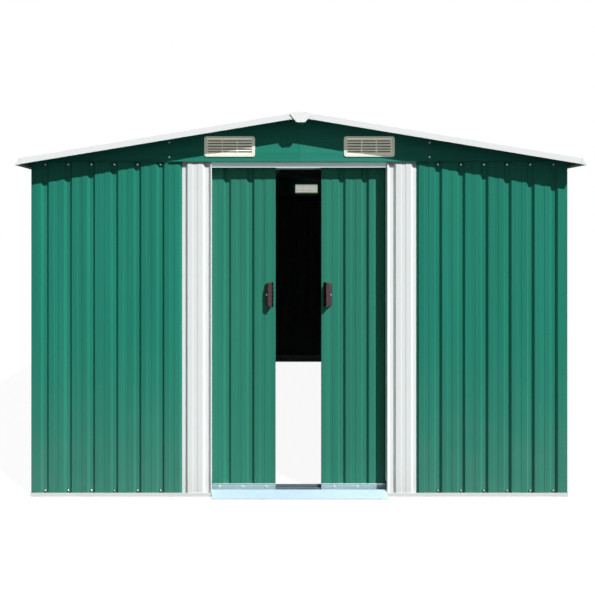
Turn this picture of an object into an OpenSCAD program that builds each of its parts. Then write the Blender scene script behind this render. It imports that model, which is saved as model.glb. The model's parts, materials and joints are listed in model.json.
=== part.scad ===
// Metal garden shed with a low gable roof and a pair of sliding doors.
// Origin: centre of the footprint at ground level. +Z up, the doors face -Y.

/* [Walls] */
// Outside width of the walls
body_w = 2470; // [2000:10:3000]
// Outside depth of the walls
body_d = 2830; // [1800:10:3600]
// Height of the side walls
side_wall_h = 1540; // [1300:5:1800]
// Thickness of every wall, door and roof sheet
sheet_t = 0.6; // [0.4:0.1:1]
// Spacing of the wall grooves
groove_pitch = 106.6; // [90:0.2:130]
// Depth of a wall groove
groove_d = 10; // [8:1:14]
// Width of a groove at the face of the sheet
groove_w = 36; // [30:1:42]
// Width of the floor of a groove
groove_floor_w = 16; // [12:1:22]
// Distance from a corner to the middle of the first groove
groove_edge = 62.4; // [50:0.2:80]
// How far the folded corner of a front or back sheet runs along the side
corner_return = 45; // [20:5:60]
// How far one sheet laps over the next
sheet_lap = 26; // [16:2:36]

/* [Doorway] */
// Clear width between the door jambs
doorway_w = 808; // [700:2:1000]
// Height of the underside of the head rail
doorway_h = 1515; // [1350:1:1515]
// Width of one door sheet
door_w = 431; // [400:1:520]
// Distance from the face of the walls to the face of the doors
door_inset = 45; // [42:1:60]
// Spacing of the door grooves
door_pitch = 109; // [95:1:120]
// Distance from the left edge of a door to its first groove
door_groove_edge = 95.5; // [70:0.5:110]
// How far each door stands open from the middle of the doorway
door_gap = 107; // [4:1:300]
// Height of the lower edge of a door sheet
door_foot = 38; // [38:1:60]
// Number of wall grooves in the white trim beside the doorway
trim_grooves = 2; // [1:1:3]
// Height of the ramp
ramp_h = 26; // [20:1:30]
// How far the ramp reaches in front of the walls
ramp_reach = 30; // [20:1:60]

/* [Handles] */
// Height of a handle
handle_h = 114; // [90:2:160]
// Width of a handle on the door
handle_w = 40; // [34:1:50]
// How far a handle stands out of the door
handle_out = 26; // [20:1:28]
// Height of the middle of a handle above ground
handle_z = 925; // [800:1:1100]
// Distance from the meeting edge of a door to its handle
handle_edge = 10; // [5:1:20]

/* [Roof] */
// How far the roof reaches past the side walls, drip edges included
eave_over = 50; // [36:1:80]
// How far the roof reaches past the front and back walls
roof_over = 75; // [40:5:120]
// Slope of the roof in degrees
roof_angle = 9.37; // [6:0.01:14]
// Depth of a roof groove
roof_groove_d = 10; // [6:1:14]
// Height of the fascia below the roof sheet
fascia_drop = 14; // [8:1:20]
// Reach of the drip edge past the roof sheet
drip_reach = 24; // [12:1:32]
// Half width of the ridge cap
ridge_cap_half = 48; // [45:1:80]
// Width of the lower face of the ridge beam
ridge_beam_foot = 38; // [24:1:50]
// Depth of the ridge beam
ridge_beam_h = 33; // [24:1:36]

/* [Gables and vents] */
// Height of the lower edge of the gables above ground
gable_z = 1541; // [1541:1:1560]
// Distance from the middle of the gable to its lapped joints
gable_joint = 600; // [580:10:700]
// Width of a vent flange
vent_w = 233; // [180:1:280]
// Height of a vent flange
vent_h = 94; // [80:1:100]
// Distance from the middle of the gable to the middle of a vent
vent_x = 321; // [280:1:360]
// Height of the middle of a vent above ground
vent_z = 1610; // [1606:1:1618]
// Number of louvres in a vent
vent_louvres = 6; // [4:1:7]

/* [Rails] */
// Thickness of the rails, tracks and trims
rail_t = 1.2; // [0.8:0.1:2]
// Height of the outer lip of the base rail
base_lip_h = 17; // [12:1:24]
// Height of the upright of the base rail
base_upright_h = 60; // [40:5:80]
// Depth of the foot of the base rail
base_foot_d = 46; // [40:1:60]
// Radius of the anchor holes in the base rail
anchor_r = 4.5; // [3:0.5:6]
// Distance of the anchor holes from the ends of the side walls
anchor_end = 215; // [100:5:400]
// Height of the top rails
top_rail_h = 45; // [30:5:60]

/* [Hidden] */
$fn = 48;

GREEN = [0.16, 0.51, 0.43];
WHITE = [0.92, 0.93, 0.93];
ZINC = [0.70, 0.75, 0.78];
PRIMER = [0.13, 0.14, 0.14];
CREAM = [0.88, 0.87, 0.80];
NYLON = [0.12, 0.12, 0.12];
GRIP = [0.22, 0.15, 0.16];

fit = 0.3;               // gap left between two sheets or rails that lie on each other
tiny = 0.01;             // overlap of tools with the faces they cut
run_gap = 0.4;           // running gap of a glide on its track
move_gap = 5;            // clearance of moving pieces
clip_reach = 4000;       // larger than the shed, for cutting tools

// Walls, measured inward from the face of the pans
rail_in = groove_d + sheet_t + fit;          // outer face of the rails behind the grooves
wall_foot = rail_t + fit;                    // sheets stand in the base rail
trim_in = -(sheet_t + fit);                  // white trims lap over the green sheets
base_lip_out = rail_t + fit - trim_in;       // outer face of the base rails
base_end = body_w / 2 + base_lip_out;        // ends of the front and back base rails
corner_x = body_w / 2 - 2 * sheet_t - fit;   // fold of the front and back sheets
wing_in = -2 * (sheet_t + fit);              // outer gable sheets
gable_in = wing_in - sheet_t - fit;          // middle gable sheets
gable_lap = 10;                              // half width of the lap between gable sheets

// Roof
slope = tan(roof_angle);
slope_len = (body_w / 2 + eave_over - drip_reach) / cos(roof_angle);
roof_d = body_d + 2 * roof_over;
wall_roof_z = side_wall_h + 1;               // underside of the roof above the side walls
ridge_z = wall_roof_z + slope * body_w / 2;  // underside of the roof at the ridge
front_wall_h = gable_z + 7;                  // sheets reach up behind the gables
roof_top_w = roof_groove_d + sheet_t;        // top of the roof sheets above their underside
end_cap_t = 3;                               // thickness of the caps at the ends of the ridge
fascia_y = roof_d / 2 - end_cap_t - fit;     // outer face of the fascias
fascia_flange = 28;                          // depth of the flange on top of the roof sheets
fascia_hem = 6;
drip_rise = 3;                               // the lip of a drip edge lies above its foot
beam_top_half = ridge_cap_half - 4;
ridge_gap = 14;                              // roof sheets stop short of the ridge
roof_sheet_back = 3.2;                       // sheets end this far behind the face of a fascia
roof_panels = 4;                             // sheets along each side of the roof
purlin_x = [480, 900];                       // distance of the purlins from the middle
purlin_h = 32;
purlin_w = 24;

// Doors and tracks, measured inward from the face of the walls
door_in = door_inset;
door_groove_d = 10;
door_back = door_in + door_groove_d + sheet_t;     // inner face of a door sheet
door_h_top = doorway_h + 11;                        // doors reach up into the head rail
foot_rail_in = door_in - rail_t - fit;              // outer face of the rail at a door's foot
foot_rail_out = door_back + 5;                      // inner face of that rail
foot_rail_web = door_foot - rail_t - fit;
foot_rail_z = 12;                                   // lower edge of that rail
guide_mid = (foot_rail_in + foot_rail_out) / 2;
guide_w = 6;                                        // ridge that guides the doors
guide_h = 18;
track_front = rail_in + rail_t + fit;               // front flange of the lower track
track_back = foot_rail_out + move_gap + 1;
track_back_h = 29;
head_back = door_back + 32;                         // inner face of the head rail
head_lip = 17;
head_top = front_wall_h;
track_half = body_w / 2 - rail_in - rail_t - fit;
top_rail_w = 32;
top_rail_lip = 12;
jamb_w = 16;
hanger_w = 44;
door_rail_h = 40;                                   // height of the rail behind a door's top edge
foot_rail_lap = 3.5;                                // that at its foot covers this much of the sheet
hanger_z = head_top - rail_t - 8;                   // top of the hangers
hanger_spread = 300;                                // distance between a door's two hangers
handle_corner_r = 13;
handle_wall = 3;
handle_base_t = 2.4;
handle_mouth = 8;                                  // the hood stops short of the base plate's edge
handle_slope = 12;                                 // width of the hood's sloping side
jamb_x = doorway_w / 2;
jamb_depth = door_in - 9;                           // jambs reach this far in
trim_margin = 6;                                    // edge of a trim past its last groove
trim_lap = 5;
side_panels = 4;
back_panels = 4;

gable_drip = 6;
vent_collar = 1.5;
vent_open_w = vent_w - 30;
vent_open_h = vent_h - 19;
vent_room = vent_collar + 0.5;               // hole in the gable, from the vent's opening
vent_flange_t = 3.5;
vent_depth = 14;
vent_r = 11;

// ---- Places ----

module at_front() { translate([0, -body_d / 2, 0]) children(); }
module at_back() { rotate([0, 0, 180]) at_front() children(); }
module at_right() { translate([body_w / 2, 0, 0]) rotate([0, 0, 90]) children(); }
module at_left() { mirror([1, 0, 0]) at_right() children(); }
module both_sides() {
    children();
    mirror([1, 0, 0]) children();
}
module on_side(side) { mirror([side < 0 ? 1 : 0, 0, 0]) children(); }
module at_slope_right() { translate([0, 0, ridge_z]) rotate([0, roof_angle, 0]) children(); }
module at_slope_left() { mirror([1, 0, 0]) at_slope_right() children(); }
// A profile drawn in depth and height, run along X from one place to another
module run_x(from, to) {
    translate([from, 0, 0]) rotate([90, 0, 90]) linear_extrude(to - from) children();
}
// A profile drawn in X and height, run along Y from one place to another
module run_y(from, to) {
    translate([0, to, 0]) rotate([90, 0, 0]) linear_extrude(to - from) children();
}
module bar(x0, x1, y0, y1, z0, z1) {
    translate([x0, y0, z0]) cube([x1 - x0, y1 - y0, z1 - z0]);
}
module rect(x0, x1, y0, y1) { translate([x0, y0]) square([x1 - x0, y1 - y0]); }

// ---- Grooved sheet ----

function groove_out(c, d) = [
    [c - groove_w / 2, 0], [c - groove_floor_w / 2, d],
    [c + groove_floor_w / 2, d], [c + groove_w / 2, 0]
];
function groove_in(c, d, s) = [
    [c + groove_w / 2 + s, sheet_t], [c + groove_floor_w / 2 + s, d + sheet_t],
    [c - groove_floor_w / 2 - s, d + sheet_t], [c - groove_w / 2 - s, sheet_t]
];
// Section of a sheet from x0 to x1 with grooves at the centres that lie between them
module grooved(x0, x1, centres, d) {
    steep = atan(2 * d / (groove_w - groove_floor_w));
    s = sheet_t * tan(steep / 2);
    own = [for (c = centres) if (c - groove_w / 2 - s > x0 && c + groove_w / 2 + s < x1) c];
    n = len(own);
    polygon(concat(
        [[x0, 0]],
        [for (c = own) each groove_out(c, d)],
        [[x1, 0], [x1, sheet_t]],
        [for (i = [0:n - 1]) each groove_in(own[n - 1 - i], d, s)],
        [[x0, sheet_t]]
    ));
}
// Centres of equally spaced grooves, as many as fit in a length and in its middle
function spread(length, pitch, edge) =
    let (n = floor((length - 2 * edge) / pitch + 0.001), first = -n * pitch / 2)
    [for (i = [0:n]) first + i * pitch];
// Joints between panels, each in the middle of the pan nearest to an equal share
function joint(length, pitch, edge, panels, i) =
    let (n = floor((length - 2 * edge) / pitch + 0.001), first = -n * pitch / 2)
    first + (round((n + 1) * i / panels) - 0.5) * pitch;
// A wall of lapped panels; every other panel lies one sheet further out
module panels_2d(length, pitch, edge, d, panels, inset) {
    centres = spread(length, pitch, edge);
    for (i = [0:panels - 1]) {
        over = i % 2 == 1;
        x0 = i == 0 ? -length / 2 + inset : joint(length, pitch, edge, panels, i) - sheet_lap / 2;
        x1 = i == panels - 1
            ? length / 2 - inset
            : joint(length, pitch, edge, panels, i + 1) + sheet_lap / 2;
        translate([0, over ? -(sheet_t + fit) : 0]) grooved(x0, x1, centres, d);
    }
}
// Everything below the roof sheets
module under_roof() {
    run_y(-clip_reach / 2, clip_reach / 2) polygon([
        [-clip_reach / 2, ridge_z - 0.5 - slope * clip_reach / 2], [0, ridge_z - 0.5],
        [clip_reach / 2, ridge_z - 0.5 - slope * clip_reach / 2],
        [clip_reach / 2, -clip_reach], [-clip_reach / 2, -clip_reach]
    ]);
}

// ---- Walls ----

// Grooves of a front wall from the corner to the doorway, and the last of them in the white trim
front_grooves = [
    for (i = [0:40]) let (x = body_w / 2 - groove_edge - i * groove_pitch)
    if (x - groove_w / 2 > jamb_x + 2) x
];
green_count = len(front_grooves) - trim_grooves;
trim_end = front_grooves[green_count] + groove_w / 2 + trim_margin;

module front_wall(side) {
    color(GREEN) intersection() {
        at_front() on_side(side) translate([0, 0, wall_foot]) linear_extrude(front_wall_h - wall_foot) {
            grooved(trim_end - trim_lap, corner_x + sheet_t,
                    [for (i = [green_count - 1:-1:0]) front_grooves[i]], groove_d);
            rect(corner_x, corner_x + sheet_t, 0, corner_return);
        }
        under_roof();
    }
}

module door_trim(side) {
    color(WHITE) at_front() on_side(side) {
        translate([0, trim_in, wall_foot]) linear_extrude(front_wall_h - wall_foot) {
            grooved(jamb_x, trim_end,
                    [for (i = [len(front_grooves) - 1:-1:green_count]) front_grooves[i]], groove_d);
            rect(jamb_x, jamb_x + sheet_t, 0, rail_in - fit - trim_in);
        }
        // the fold that lines the doorway is notched around the two tracks
        translate([0, 0, base_upright_h + fit]) linear_extrude(doorway_h - base_upright_h - 2 * fit)
            rect(jamb_x, jamb_x + sheet_t, 0, jamb_depth);
    }
}

module back_wall() {
    color(GREEN) intersection() {
        at_back() translate([0, 0, wall_foot]) linear_extrude(front_wall_h - wall_foot) {
            panels_2d(body_w, groove_pitch, groove_edge, groove_d, back_panels, sheet_t + fit);
            rect(corner_x, corner_x + sheet_t, -sheet_t - fit, corner_return);
            rect(-corner_x - sheet_t, -corner_x, 0, corner_return);
        }
        under_roof();
    }
}

module side_wall() {
    color(GREEN) translate([0, 0, wall_foot]) linear_extrude(side_wall_h - fit - wall_foot)
        panels_2d(body_d, groove_pitch, groove_edge, groove_d, side_panels, sheet_t + 2 * fit);
}

// ---- Frame ----

// Base rail: an outer lip and a foot, with an upright that the grooves are screwed to
module base_lip(from, to) {
    run_x(from, to) {
        rect(-base_lip_out, rail_t - base_lip_out, 0, base_lip_h);
        rect(-base_lip_out, rail_in + rail_t, 0, rail_t);
    }
}
module base_upright(from, to) {
    run_x(from, to) rect(rail_in, rail_in + rail_t, 0, base_upright_h);
}
module base_foot(from, to) {
    run_x(from, to) rect(rail_in, base_foot_d, 0, rail_t);
}
module base_corner() {
    bar(base_end - rail_t, base_end, -base_lip_out, rail_in + rail_t, 0, base_lip_h);
}
module base_rail_front(side) {
    from = jamb_x + sheet_t + fit;
    color(WHITE) at_front() on_side(side) {
        base_lip(from, base_end);
        base_upright(from, corner_x - fit);
        base_corner();
    }
}
module base_rail_back() {
    half = body_w / 2 - base_foot_d - fit;
    color(WHITE) at_back() {
        base_lip(-base_end, base_end);
        base_upright(fit - corner_x, corner_x - fit);
        base_foot(-half, half);
        both_sides() base_corner();
    }
}
module base_rail_side() {
    end = body_d / 2 - rail_in - rail_t - fit;
    color(WHITE) difference() {
        union() {
            base_lip(-end, end);
            base_upright(-end, end);
            base_foot(track_back + rail_t + fit - body_d / 2, end);
        }
        for (x = [anchor_end - body_d / 2, body_d / 2 - anchor_end])
            translate([x, (rail_in + rail_t + base_foot_d) / 2, -tiny])
                cylinder(r = anchor_r, h = rail_t + 2 * tiny);
    }
}

module top_profile(top) {
    back = rail_in + top_rail_w;
    rect(rail_in, rail_in + rail_t, top - top_rail_h, top);
    rect(rail_in, back, top - rail_t, top);
    rect(back - rail_t, back, top - top_rail_lip, top);
}
module top_rail_side() {
    reach_front = body_d / 2 - head_back - rail_t - fit;
    reach_back = body_d / 2 - corner_return - fit;
    color(PRIMER) run_x(-reach_front, reach_back) top_profile(side_wall_h - fit);
}
module top_rail_back() {
    half = corner_x - top_rail_w - rail_in - fit;
    color(PRIMER) at_back() run_x(-half, half) top_profile(gable_z - 2);
}

// ---- Doorway ----

module door_track_bottom() {
    color(ZINC) at_front() run_x(-track_half, track_half) {
        rect(track_front, track_back + rail_t, 0, rail_t);
        rect(track_front, track_front + rail_t, 0, ramp_h - rail_t - fit);
        rect(track_back, track_back + rail_t, 0, track_back_h);
        rect(guide_mid - guide_w / 2, guide_mid + guide_w / 2, 0, guide_h);
    }
}
module door_track_top() {
    color(WHITE) at_front() difference() {
        run_x(-track_half, track_half) {
            rect(rail_in, rail_in + rail_t, doorway_h, head_top);
            rect(rail_in, head_back + rail_t, head_top - rail_t, head_top);
            rect(head_back, head_back + rail_t, doorway_h, head_top);
            rect(head_back - head_lip, head_back + rail_t, doorway_h, doorway_h + rail_t);
        }
        // the ends are cut to the slope of the roof
        translate([0, body_d / 2, 0]) difference() {
            translate([-clip_reach / 2, -clip_reach / 2, doorway_h])
                cube([clip_reach, clip_reach, clip_reach]);
            under_roof();
        }
    }
}
module door_ramp() {
    half = jamb_x - fit;
    bend = track_front - fit;          // the top of the ramp folds over the track from here
    back = track_front + rail_t + fit;
    hook = 9;                          // height of the fold behind the track's flange
    color(ZINC) at_front() run_x(-half, half) polygon([
        [-ramp_reach, 0], [3 * rail_t - ramp_reach, 0], [bend, ramp_h - rail_t],
        [back, ramp_h - rail_t], [back, ramp_h - hook], [back + rail_t, ramp_h - hook],
        [back + rail_t, ramp_h], [bend - rail_t, ramp_h]
    ]);
}
module door_jambs() {
    x0 = jamb_x + sheet_t + fit;
    x1 = x0 + jamb_w;
    color(WHITE) at_front() both_sides()
        translate([0, 0, base_upright_h + fit])
            linear_extrude(doorway_h - fit - base_upright_h - fit) {
                rect(x0, x0 + rail_t, rail_in, jamb_depth);
                rect(x0, x1, jamb_depth - rail_t, jamb_depth);
                rect(x0, x1, rail_in, rail_in + rail_t);
            }
}

// ---- Doors ----

// Frame of a door: x from its left edge, y inward from the face of the walls
module at_door(side) {
    x0 = side < 0 ? -door_gap - door_w : door_gap;
    at_front() translate([x0, 0, 0]) children();
}
module door_sheet(side) {
    grooves = [for (i = [0:2]) door_groove_edge + i * door_pitch];
    fold = door_groove_d + sheet_t;
    color(GREEN) at_door(side) translate([0, door_in, door_foot])
        linear_extrude(door_h_top - door_foot) {
            grooved(0, door_w, grooves, door_groove_d);
            rect(0, sheet_t, 0, fold);
            rect(door_w - sheet_t, door_w, 0, fold);
        }
}
module door_top_rail(side) {
    back = door_back + fit;
    color(ZINC) at_door(side) {
        bar(sheet_t, door_w - sheet_t, back, back + rail_t, door_h_top - door_rail_h, door_h_top);
        for (s = [-1, 1]) translate([door_w / 2 + s * hanger_spread / 2, 0, 0]) {
            bar(-hanger_w / 2, hanger_w / 2, back, back + 2 * rail_t, door_h_top - door_rail_h, hanger_z);
            bar(-hanger_w / 2, hanger_w / 2, back, head_back - move_gap, hanger_z - rail_t, hanger_z);
        }
    }
}
module door_bottom_rail(side) {
    color(ZINC) at_door(side) run_x(0, door_w) {
        rect(foot_rail_in, foot_rail_in + rail_t, foot_rail_z, door_foot + foot_rail_lap);
        rect(foot_rail_in, foot_rail_out, foot_rail_web, foot_rail_web + rail_t);
        rect(foot_rail_out - rail_t, foot_rail_out, foot_rail_z, door_foot + foot_rail_lap);
    }
}
module door_glides(side) {
    half = hanger_w / 2 - 2;
    color(NYLON) at_door(side) for (s = [-1, 1]) translate([door_w / 2 + s * hanger_spread / 2, 0, 0]) {
        bar(-half, half, head_back - head_lip + 2, head_back - move_gap,
            doorway_h + rail_t + run_gap, hanger_z - rail_t);
        for (face = [[foot_rail_in + rail_t, guide_mid - guide_w / 2 - run_gap],
                     [guide_mid + guide_w / 2 + run_gap, foot_rail_out - rail_t]])
            bar(-half, half, face[0], face[1], foot_rail_z + 2, foot_rail_web);
    }
}
// Cup handle, open toward the meeting edge: x from that edge, the cup standing out of the door
module cup_outline(wall) {
    r = handle_corner_r - wall;
    for (z = [-1, 1])
        translate([handle_w - handle_corner_r, z * (handle_h / 2 - handle_corner_r)]) circle(r);
    rect(0, handle_w - handle_corner_r, wall - handle_h / 2, handle_h / 2 - wall);
    rect(0, handle_w - wall, handle_corner_r - handle_h / 2, handle_h / 2 - handle_corner_r);
}
// Space under a face at a height above the door, from x0 to a side that slopes back to the door
module cup_space(x0, face, wall) {
    foot = handle_w - wall;
    lean = handle_slope * (face - handle_base_t) / (handle_out - handle_base_t);
    intersection() {
        linear_extrude(face) union() {
            cup_outline(wall);
            rect(-1, 1, wall - handle_h / 2, handle_h / 2 - wall);
        }
        rotate([90, 0, 0]) linear_extrude(handle_h, center = true) polygon([
            [x0, handle_base_t - tiny], [foot, handle_base_t - tiny], [foot - lean, face], [x0, face]
        ]);
    }
}
module handle_cup() {
    translate([handle_edge, 0, handle_z]) rotate([90, 0, 0]) {
        linear_extrude(handle_base_t) cup_outline(0);
        difference() {
            cup_space(handle_mouth, handle_out, 0);
            cup_space(-1, handle_out - handle_wall, handle_wall);
        }
    }
}
module door_handle(side) {
    meet = side < 0 ? door_w : 0;
    color(GRIP) at_door(side) translate([meet, door_in - fit, 0]) on_side(side) handle_cup();
}

// ---- Gables ----

// Gable sheet from x0 to x1, with a narrow drip flange along a part of its lower edge
module gable_sheet(x0, x1, drip_x0, drip_x1, inset) {
    intersection() {
        union() {
            bar(x0, x1, inset, inset + sheet_t, gable_z, clip_reach);
            bar(drip_x0, drip_x1, inset - gable_drip, inset, gable_z, gable_z + sheet_t);
        }
        translate([0, body_d / 2, 0]) under_roof();
    }
}
// Room for the ridge beam where it passes the gables
module beam_room() {
    room = 0.5;
    foot = ridge_beam_foot / 2 + room;
    top = beam_top_half + room;
    shoulder = ridge_z - 1 - slope * beam_top_half - 2 * room;
    run_y(-clip_reach / 2, clip_reach / 2) polygon([
        [-foot, ridge_z - ridge_beam_h - room], [foot, ridge_z - ridge_beam_h - room],
        [top, shoulder], [top, ridge_z + 1], [-top, ridge_z + 1], [-top, shoulder]
    ]);
}
module gable_middle(side) {
    color(GREEN) on_side(side) difference() {
        gable_sheet(fit, gable_joint + gable_lap, fit, gable_joint, gable_in);
        beam_room();
        translate([vent_x, 0, vent_z]) rotate([90, 0, 0]) linear_extrude(clip_reach, center = true)
            square([vent_open_w + 2 * vent_room, vent_open_h + 2 * vent_room], center = true);
    }
}
module gable_wings() {
    lap_end = gable_joint + gable_lap + fit;
    color(GREEN) both_sides()
        gable_sheet(gable_joint - gable_lap, body_w / 2, lap_end, body_w / 2, wing_in);
}

// Louvred vent: flange in front of the gable, collar through it, louvres and two mullions
module vent() {
    open_w = vent_open_w;
    open_h = vent_open_h;
    pitch = open_h / vent_louvres;
    color(CREAM) rotate([90, 0, 0]) {
        difference() {
            union() {
                linear_extrude(vent_flange_t) {
                    for (sx = [-1, 1], sy = [-1, 1])
                        translate([sx * (vent_w / 2 - vent_r), sy * (vent_h / 2 - vent_r)]) circle(vent_r);
                    square([vent_w, vent_h - 2 * vent_r], center = true);
                    square([vent_w - 2 * vent_r, vent_h], center = true);
                }
                translate([0, 0, -vent_depth]) linear_extrude(vent_depth + 1)
                    square([open_w + 2 * vent_collar, open_h + 2 * vent_collar], center = true);
            }
            translate([0, 0, -vent_depth - 1]) linear_extrude(vent_depth + vent_flange_t + 2)
                square([open_w, open_h], center = true);
        }
        for (x = [-1, 1]) translate([x * open_w / 6, 0, -vent_depth + vent_flange_t])
            linear_extrude(vent_depth - 1) square([3.2, open_h + vent_collar], center = true);
        intersection() {
            translate([0, 0, -vent_depth]) linear_extrude(vent_depth + vent_flange_t - 1)
                square([open_w + vent_collar, open_h + vent_collar], center = true);
            for (i = [0:vent_louvres - 1])
                translate([0, open_h / 2 - (i + 0.5) * pitch, 0]) rotate([0, 90, 0])
                    linear_extrude(open_w + vent_collar, center = true) polygon([
                        [-vent_flange_t, -pitch / 2 + 0.2], [-vent_flange_t, -pitch / 2 + 2.2],
                        [vent_depth - 3, pitch / 2 + 1], [vent_depth - 3, pitch / 2 - 1]
                    ]);
        }
    }
}
module place_vent(side) {
    translate([side * vent_x, gable_in - fit, vent_z]) vent();
}

// ---- Roof ----

module roof_slope() {
    color(GREEN) translate([ridge_gap, 0, 0]) rotate([90, 0, 90])
        linear_extrude(slope_len - ridge_gap) translate([0, roof_top_w]) mirror([0, 1])
            panels_2d(roof_d, groove_pitch, groove_edge, roof_groove_d, roof_panels,
                      roof_d / 2 - fascia_y + roof_sheet_back);
}
module ridge_beam() {
    end = fascia_y - fascia_hem - fit;
    top = beam_top_half;
    color(PRIMER) run_y(-end, end) difference() {
        polygon([
            [-ridge_beam_foot / 2, ridge_z - ridge_beam_h], [ridge_beam_foot / 2, ridge_z - ridge_beam_h],
            [top, ridge_z - 1 - slope * top], [-top, ridge_z - 1 - slope * top]
        ]);
        polygon([
            [-ridge_beam_foot / 2 + rail_t, ridge_z - ridge_beam_h + rail_t],
            [ridge_beam_foot / 2 - rail_t, ridge_z - ridge_beam_h + rail_t],
            [top - rail_t, ridge_z - slope * top], [-top + rail_t, ridge_z - slope * top]
        ]);
    }
}
module roof_purlins() {
    reach = body_d / 2 - rail_in;
    color(PRIMER) both_sides() for (x = purlin_x) at_slope_right()
        translate([x / cos(roof_angle), 0, 0]) run_y(-reach, reach) difference() {
            rect(-purlin_w / 2, purlin_w / 2, -purlin_h, -fit);
            rect(-purlin_w / 2 + rail_t, purlin_w / 2 + tiny, -purlin_h + rail_t, -fit - rail_t);
        }
}
module ridge_cap() {
    top = roof_top_w + sheet_t + 2 * fit;
    reach = fascia_y - 1;
    rise = top / cos(roof_angle);
    edge = ridge_cap_half;
    color(WHITE) run_y(-reach, reach) polygon([
        [-edge, ridge_z + rise - slope * edge], [0, ridge_z + rise], [edge, ridge_z + rise - slope * edge],
        [edge, ridge_z + rise + rail_t - slope * edge], [0, ridge_z + rise + rail_t],
        [-edge, ridge_z + rise + rail_t - slope * edge]
    ]);
}
module ridge_end_caps() {
    top = (roof_top_w + sheet_t + 2 * fit) / cos(roof_angle) + rail_t;
    edge = ridge_cap_half;
    for (turn = [0, 180]) color(WHITE) rotate([0, 0, turn]) run_y(-roof_d / 2, -roof_d / 2 + end_cap_t)
        polygon([
            [-ridge_beam_foot / 2, ridge_z - ridge_beam_h - 2], [ridge_beam_foot / 2, ridge_z - ridge_beam_h - 2],
            [edge, ridge_z + top - slope * edge - 6], [edge, ridge_z + top - slope * edge],
            [0, ridge_z + top], [-edge, ridge_z + top - slope * edge],
            [-edge, ridge_z + top - slope * edge - 6]
        ]);
}
// Fascia on one slope of the front: face, flange on the sheets and a small hem
module fascia_slope() {
    top = roof_top_w + 2 * sheet_t + 2 * fit;
    color(WHITE) translate([ridge_gap / 4, 0, 0]) rotate([90, 0, 90])
        linear_extrude(slope_len - ridge_gap / 4 - fit) {
            rect(-fascia_y, -fascia_y + sheet_t, -fascia_drop, top);
            rect(-fascia_y, -fascia_y + fascia_flange, top - sheet_t, top);
            rect(-fascia_y, -fascia_y + fascia_hem, -fascia_drop, -fascia_drop + sheet_t);
        }
}
module fascia(turn) {
    rotate([0, 0, turn]) difference() {
        union() {
            at_slope_right() fascia_slope();
            at_slope_left() fascia_slope();
        }
        // the ridge cap lies over the flanges
        bar(-ridge_cap_half - 1, ridge_cap_half + 1, -fascia_y + sheet_t + fit, 0, ridge_z, clip_reach);
    }
}
// Drip edge along an eave: closes the ends of the sheets and reaches out to a thin lip
module eave_trim() {
    face = slope_len + fit;
    lip = face + drip_reach;
    foot = 2 - fascia_drop;
    top = roof_top_w + 2 * sheet_t + 2 * fit;
    color(WHITE) run_y(-fascia_y, fascia_y) polygon([
        [face, foot], [lip, foot + drip_rise], [lip, foot + drip_rise + rail_t],
        [face + rail_t, foot + drip_rise + rail_t], [face + rail_t, top], [face, top]
    ]);
}

base_rail_front(-1);  // base_rail_front_left
base_rail_front(1);  // base_rail_front_right
at_left() base_rail_side();  // base_rail_left
at_right() base_rail_side();  // base_rail_right
base_rail_back();
door_track_bottom();
door_ramp();
front_wall(-1);  // front_wall_left
front_wall(1);  // front_wall_right
door_trim(-1);  // door_trim_left
door_trim(1);  // door_trim_right
door_jambs();
at_left() side_wall();  // left_wall
at_right() side_wall();  // right_wall
back_wall();
door_track_top();
at_left() top_rail_side();  // top_rail_left
at_right() top_rail_side();  // top_rail_right
top_rail_back();
at_front() gable_middle(-1);  // gable_front_left
at_front() gable_middle(1);  // gable_front_right
at_front() gable_wings();  // gable_front_wings
at_back() gable_middle(1);  // gable_back_left
at_back() gable_middle(-1);  // gable_back_right
at_back() gable_wings();  // gable_back_wings
at_front() place_vent(-1);  // vent_front_left
at_front() place_vent(1);  // vent_front_right
at_back() place_vent(1);  // vent_back_left
at_back() place_vent(-1);  // vent_back_right
at_slope_left() roof_slope();  // roof_left
at_slope_right() roof_slope();  // roof_right
ridge_beam();
roof_purlins();
ridge_cap();
ridge_end_caps();
fascia(0);  // fascia_front
fascia(180);  // fascia_back
at_slope_left() eave_trim();  // eave_trim_left
at_slope_right() eave_trim();  // eave_trim_right
door_sheet(-1);  // door_left_sheet
door_top_rail(-1);  // door_left_top_rail
door_bottom_rail(-1);  // door_left_bottom_rail
door_glides(-1);  // door_left_glides
door_handle(-1);  // door_left_handle
door_sheet(1);  // door_right_sheet
door_top_rail(1);  // door_right_top_rail
door_bottom_rail(1);  // door_right_bottom_rail
door_glides(1);  // door_right_glides
door_handle(1);  // door_right_handle
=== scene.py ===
"""Looks of a metal garden shed with grooved sheets, white trims and a pair of sliding doors.

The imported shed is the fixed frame. Every sheet, vent, pull and screw made here takes its place from it,
in metres, with the doors towards -Y and the ridge along Y.
"""

from __future__ import annotations

import json
import logging
import math
from contextlib import contextmanager
from dataclasses import dataclass, field
from enum import Enum
from functools import cache
from typing import Any, Callable, Iterator

import bmesh
import bpy
from mathutils import Matrix, Vector


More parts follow.
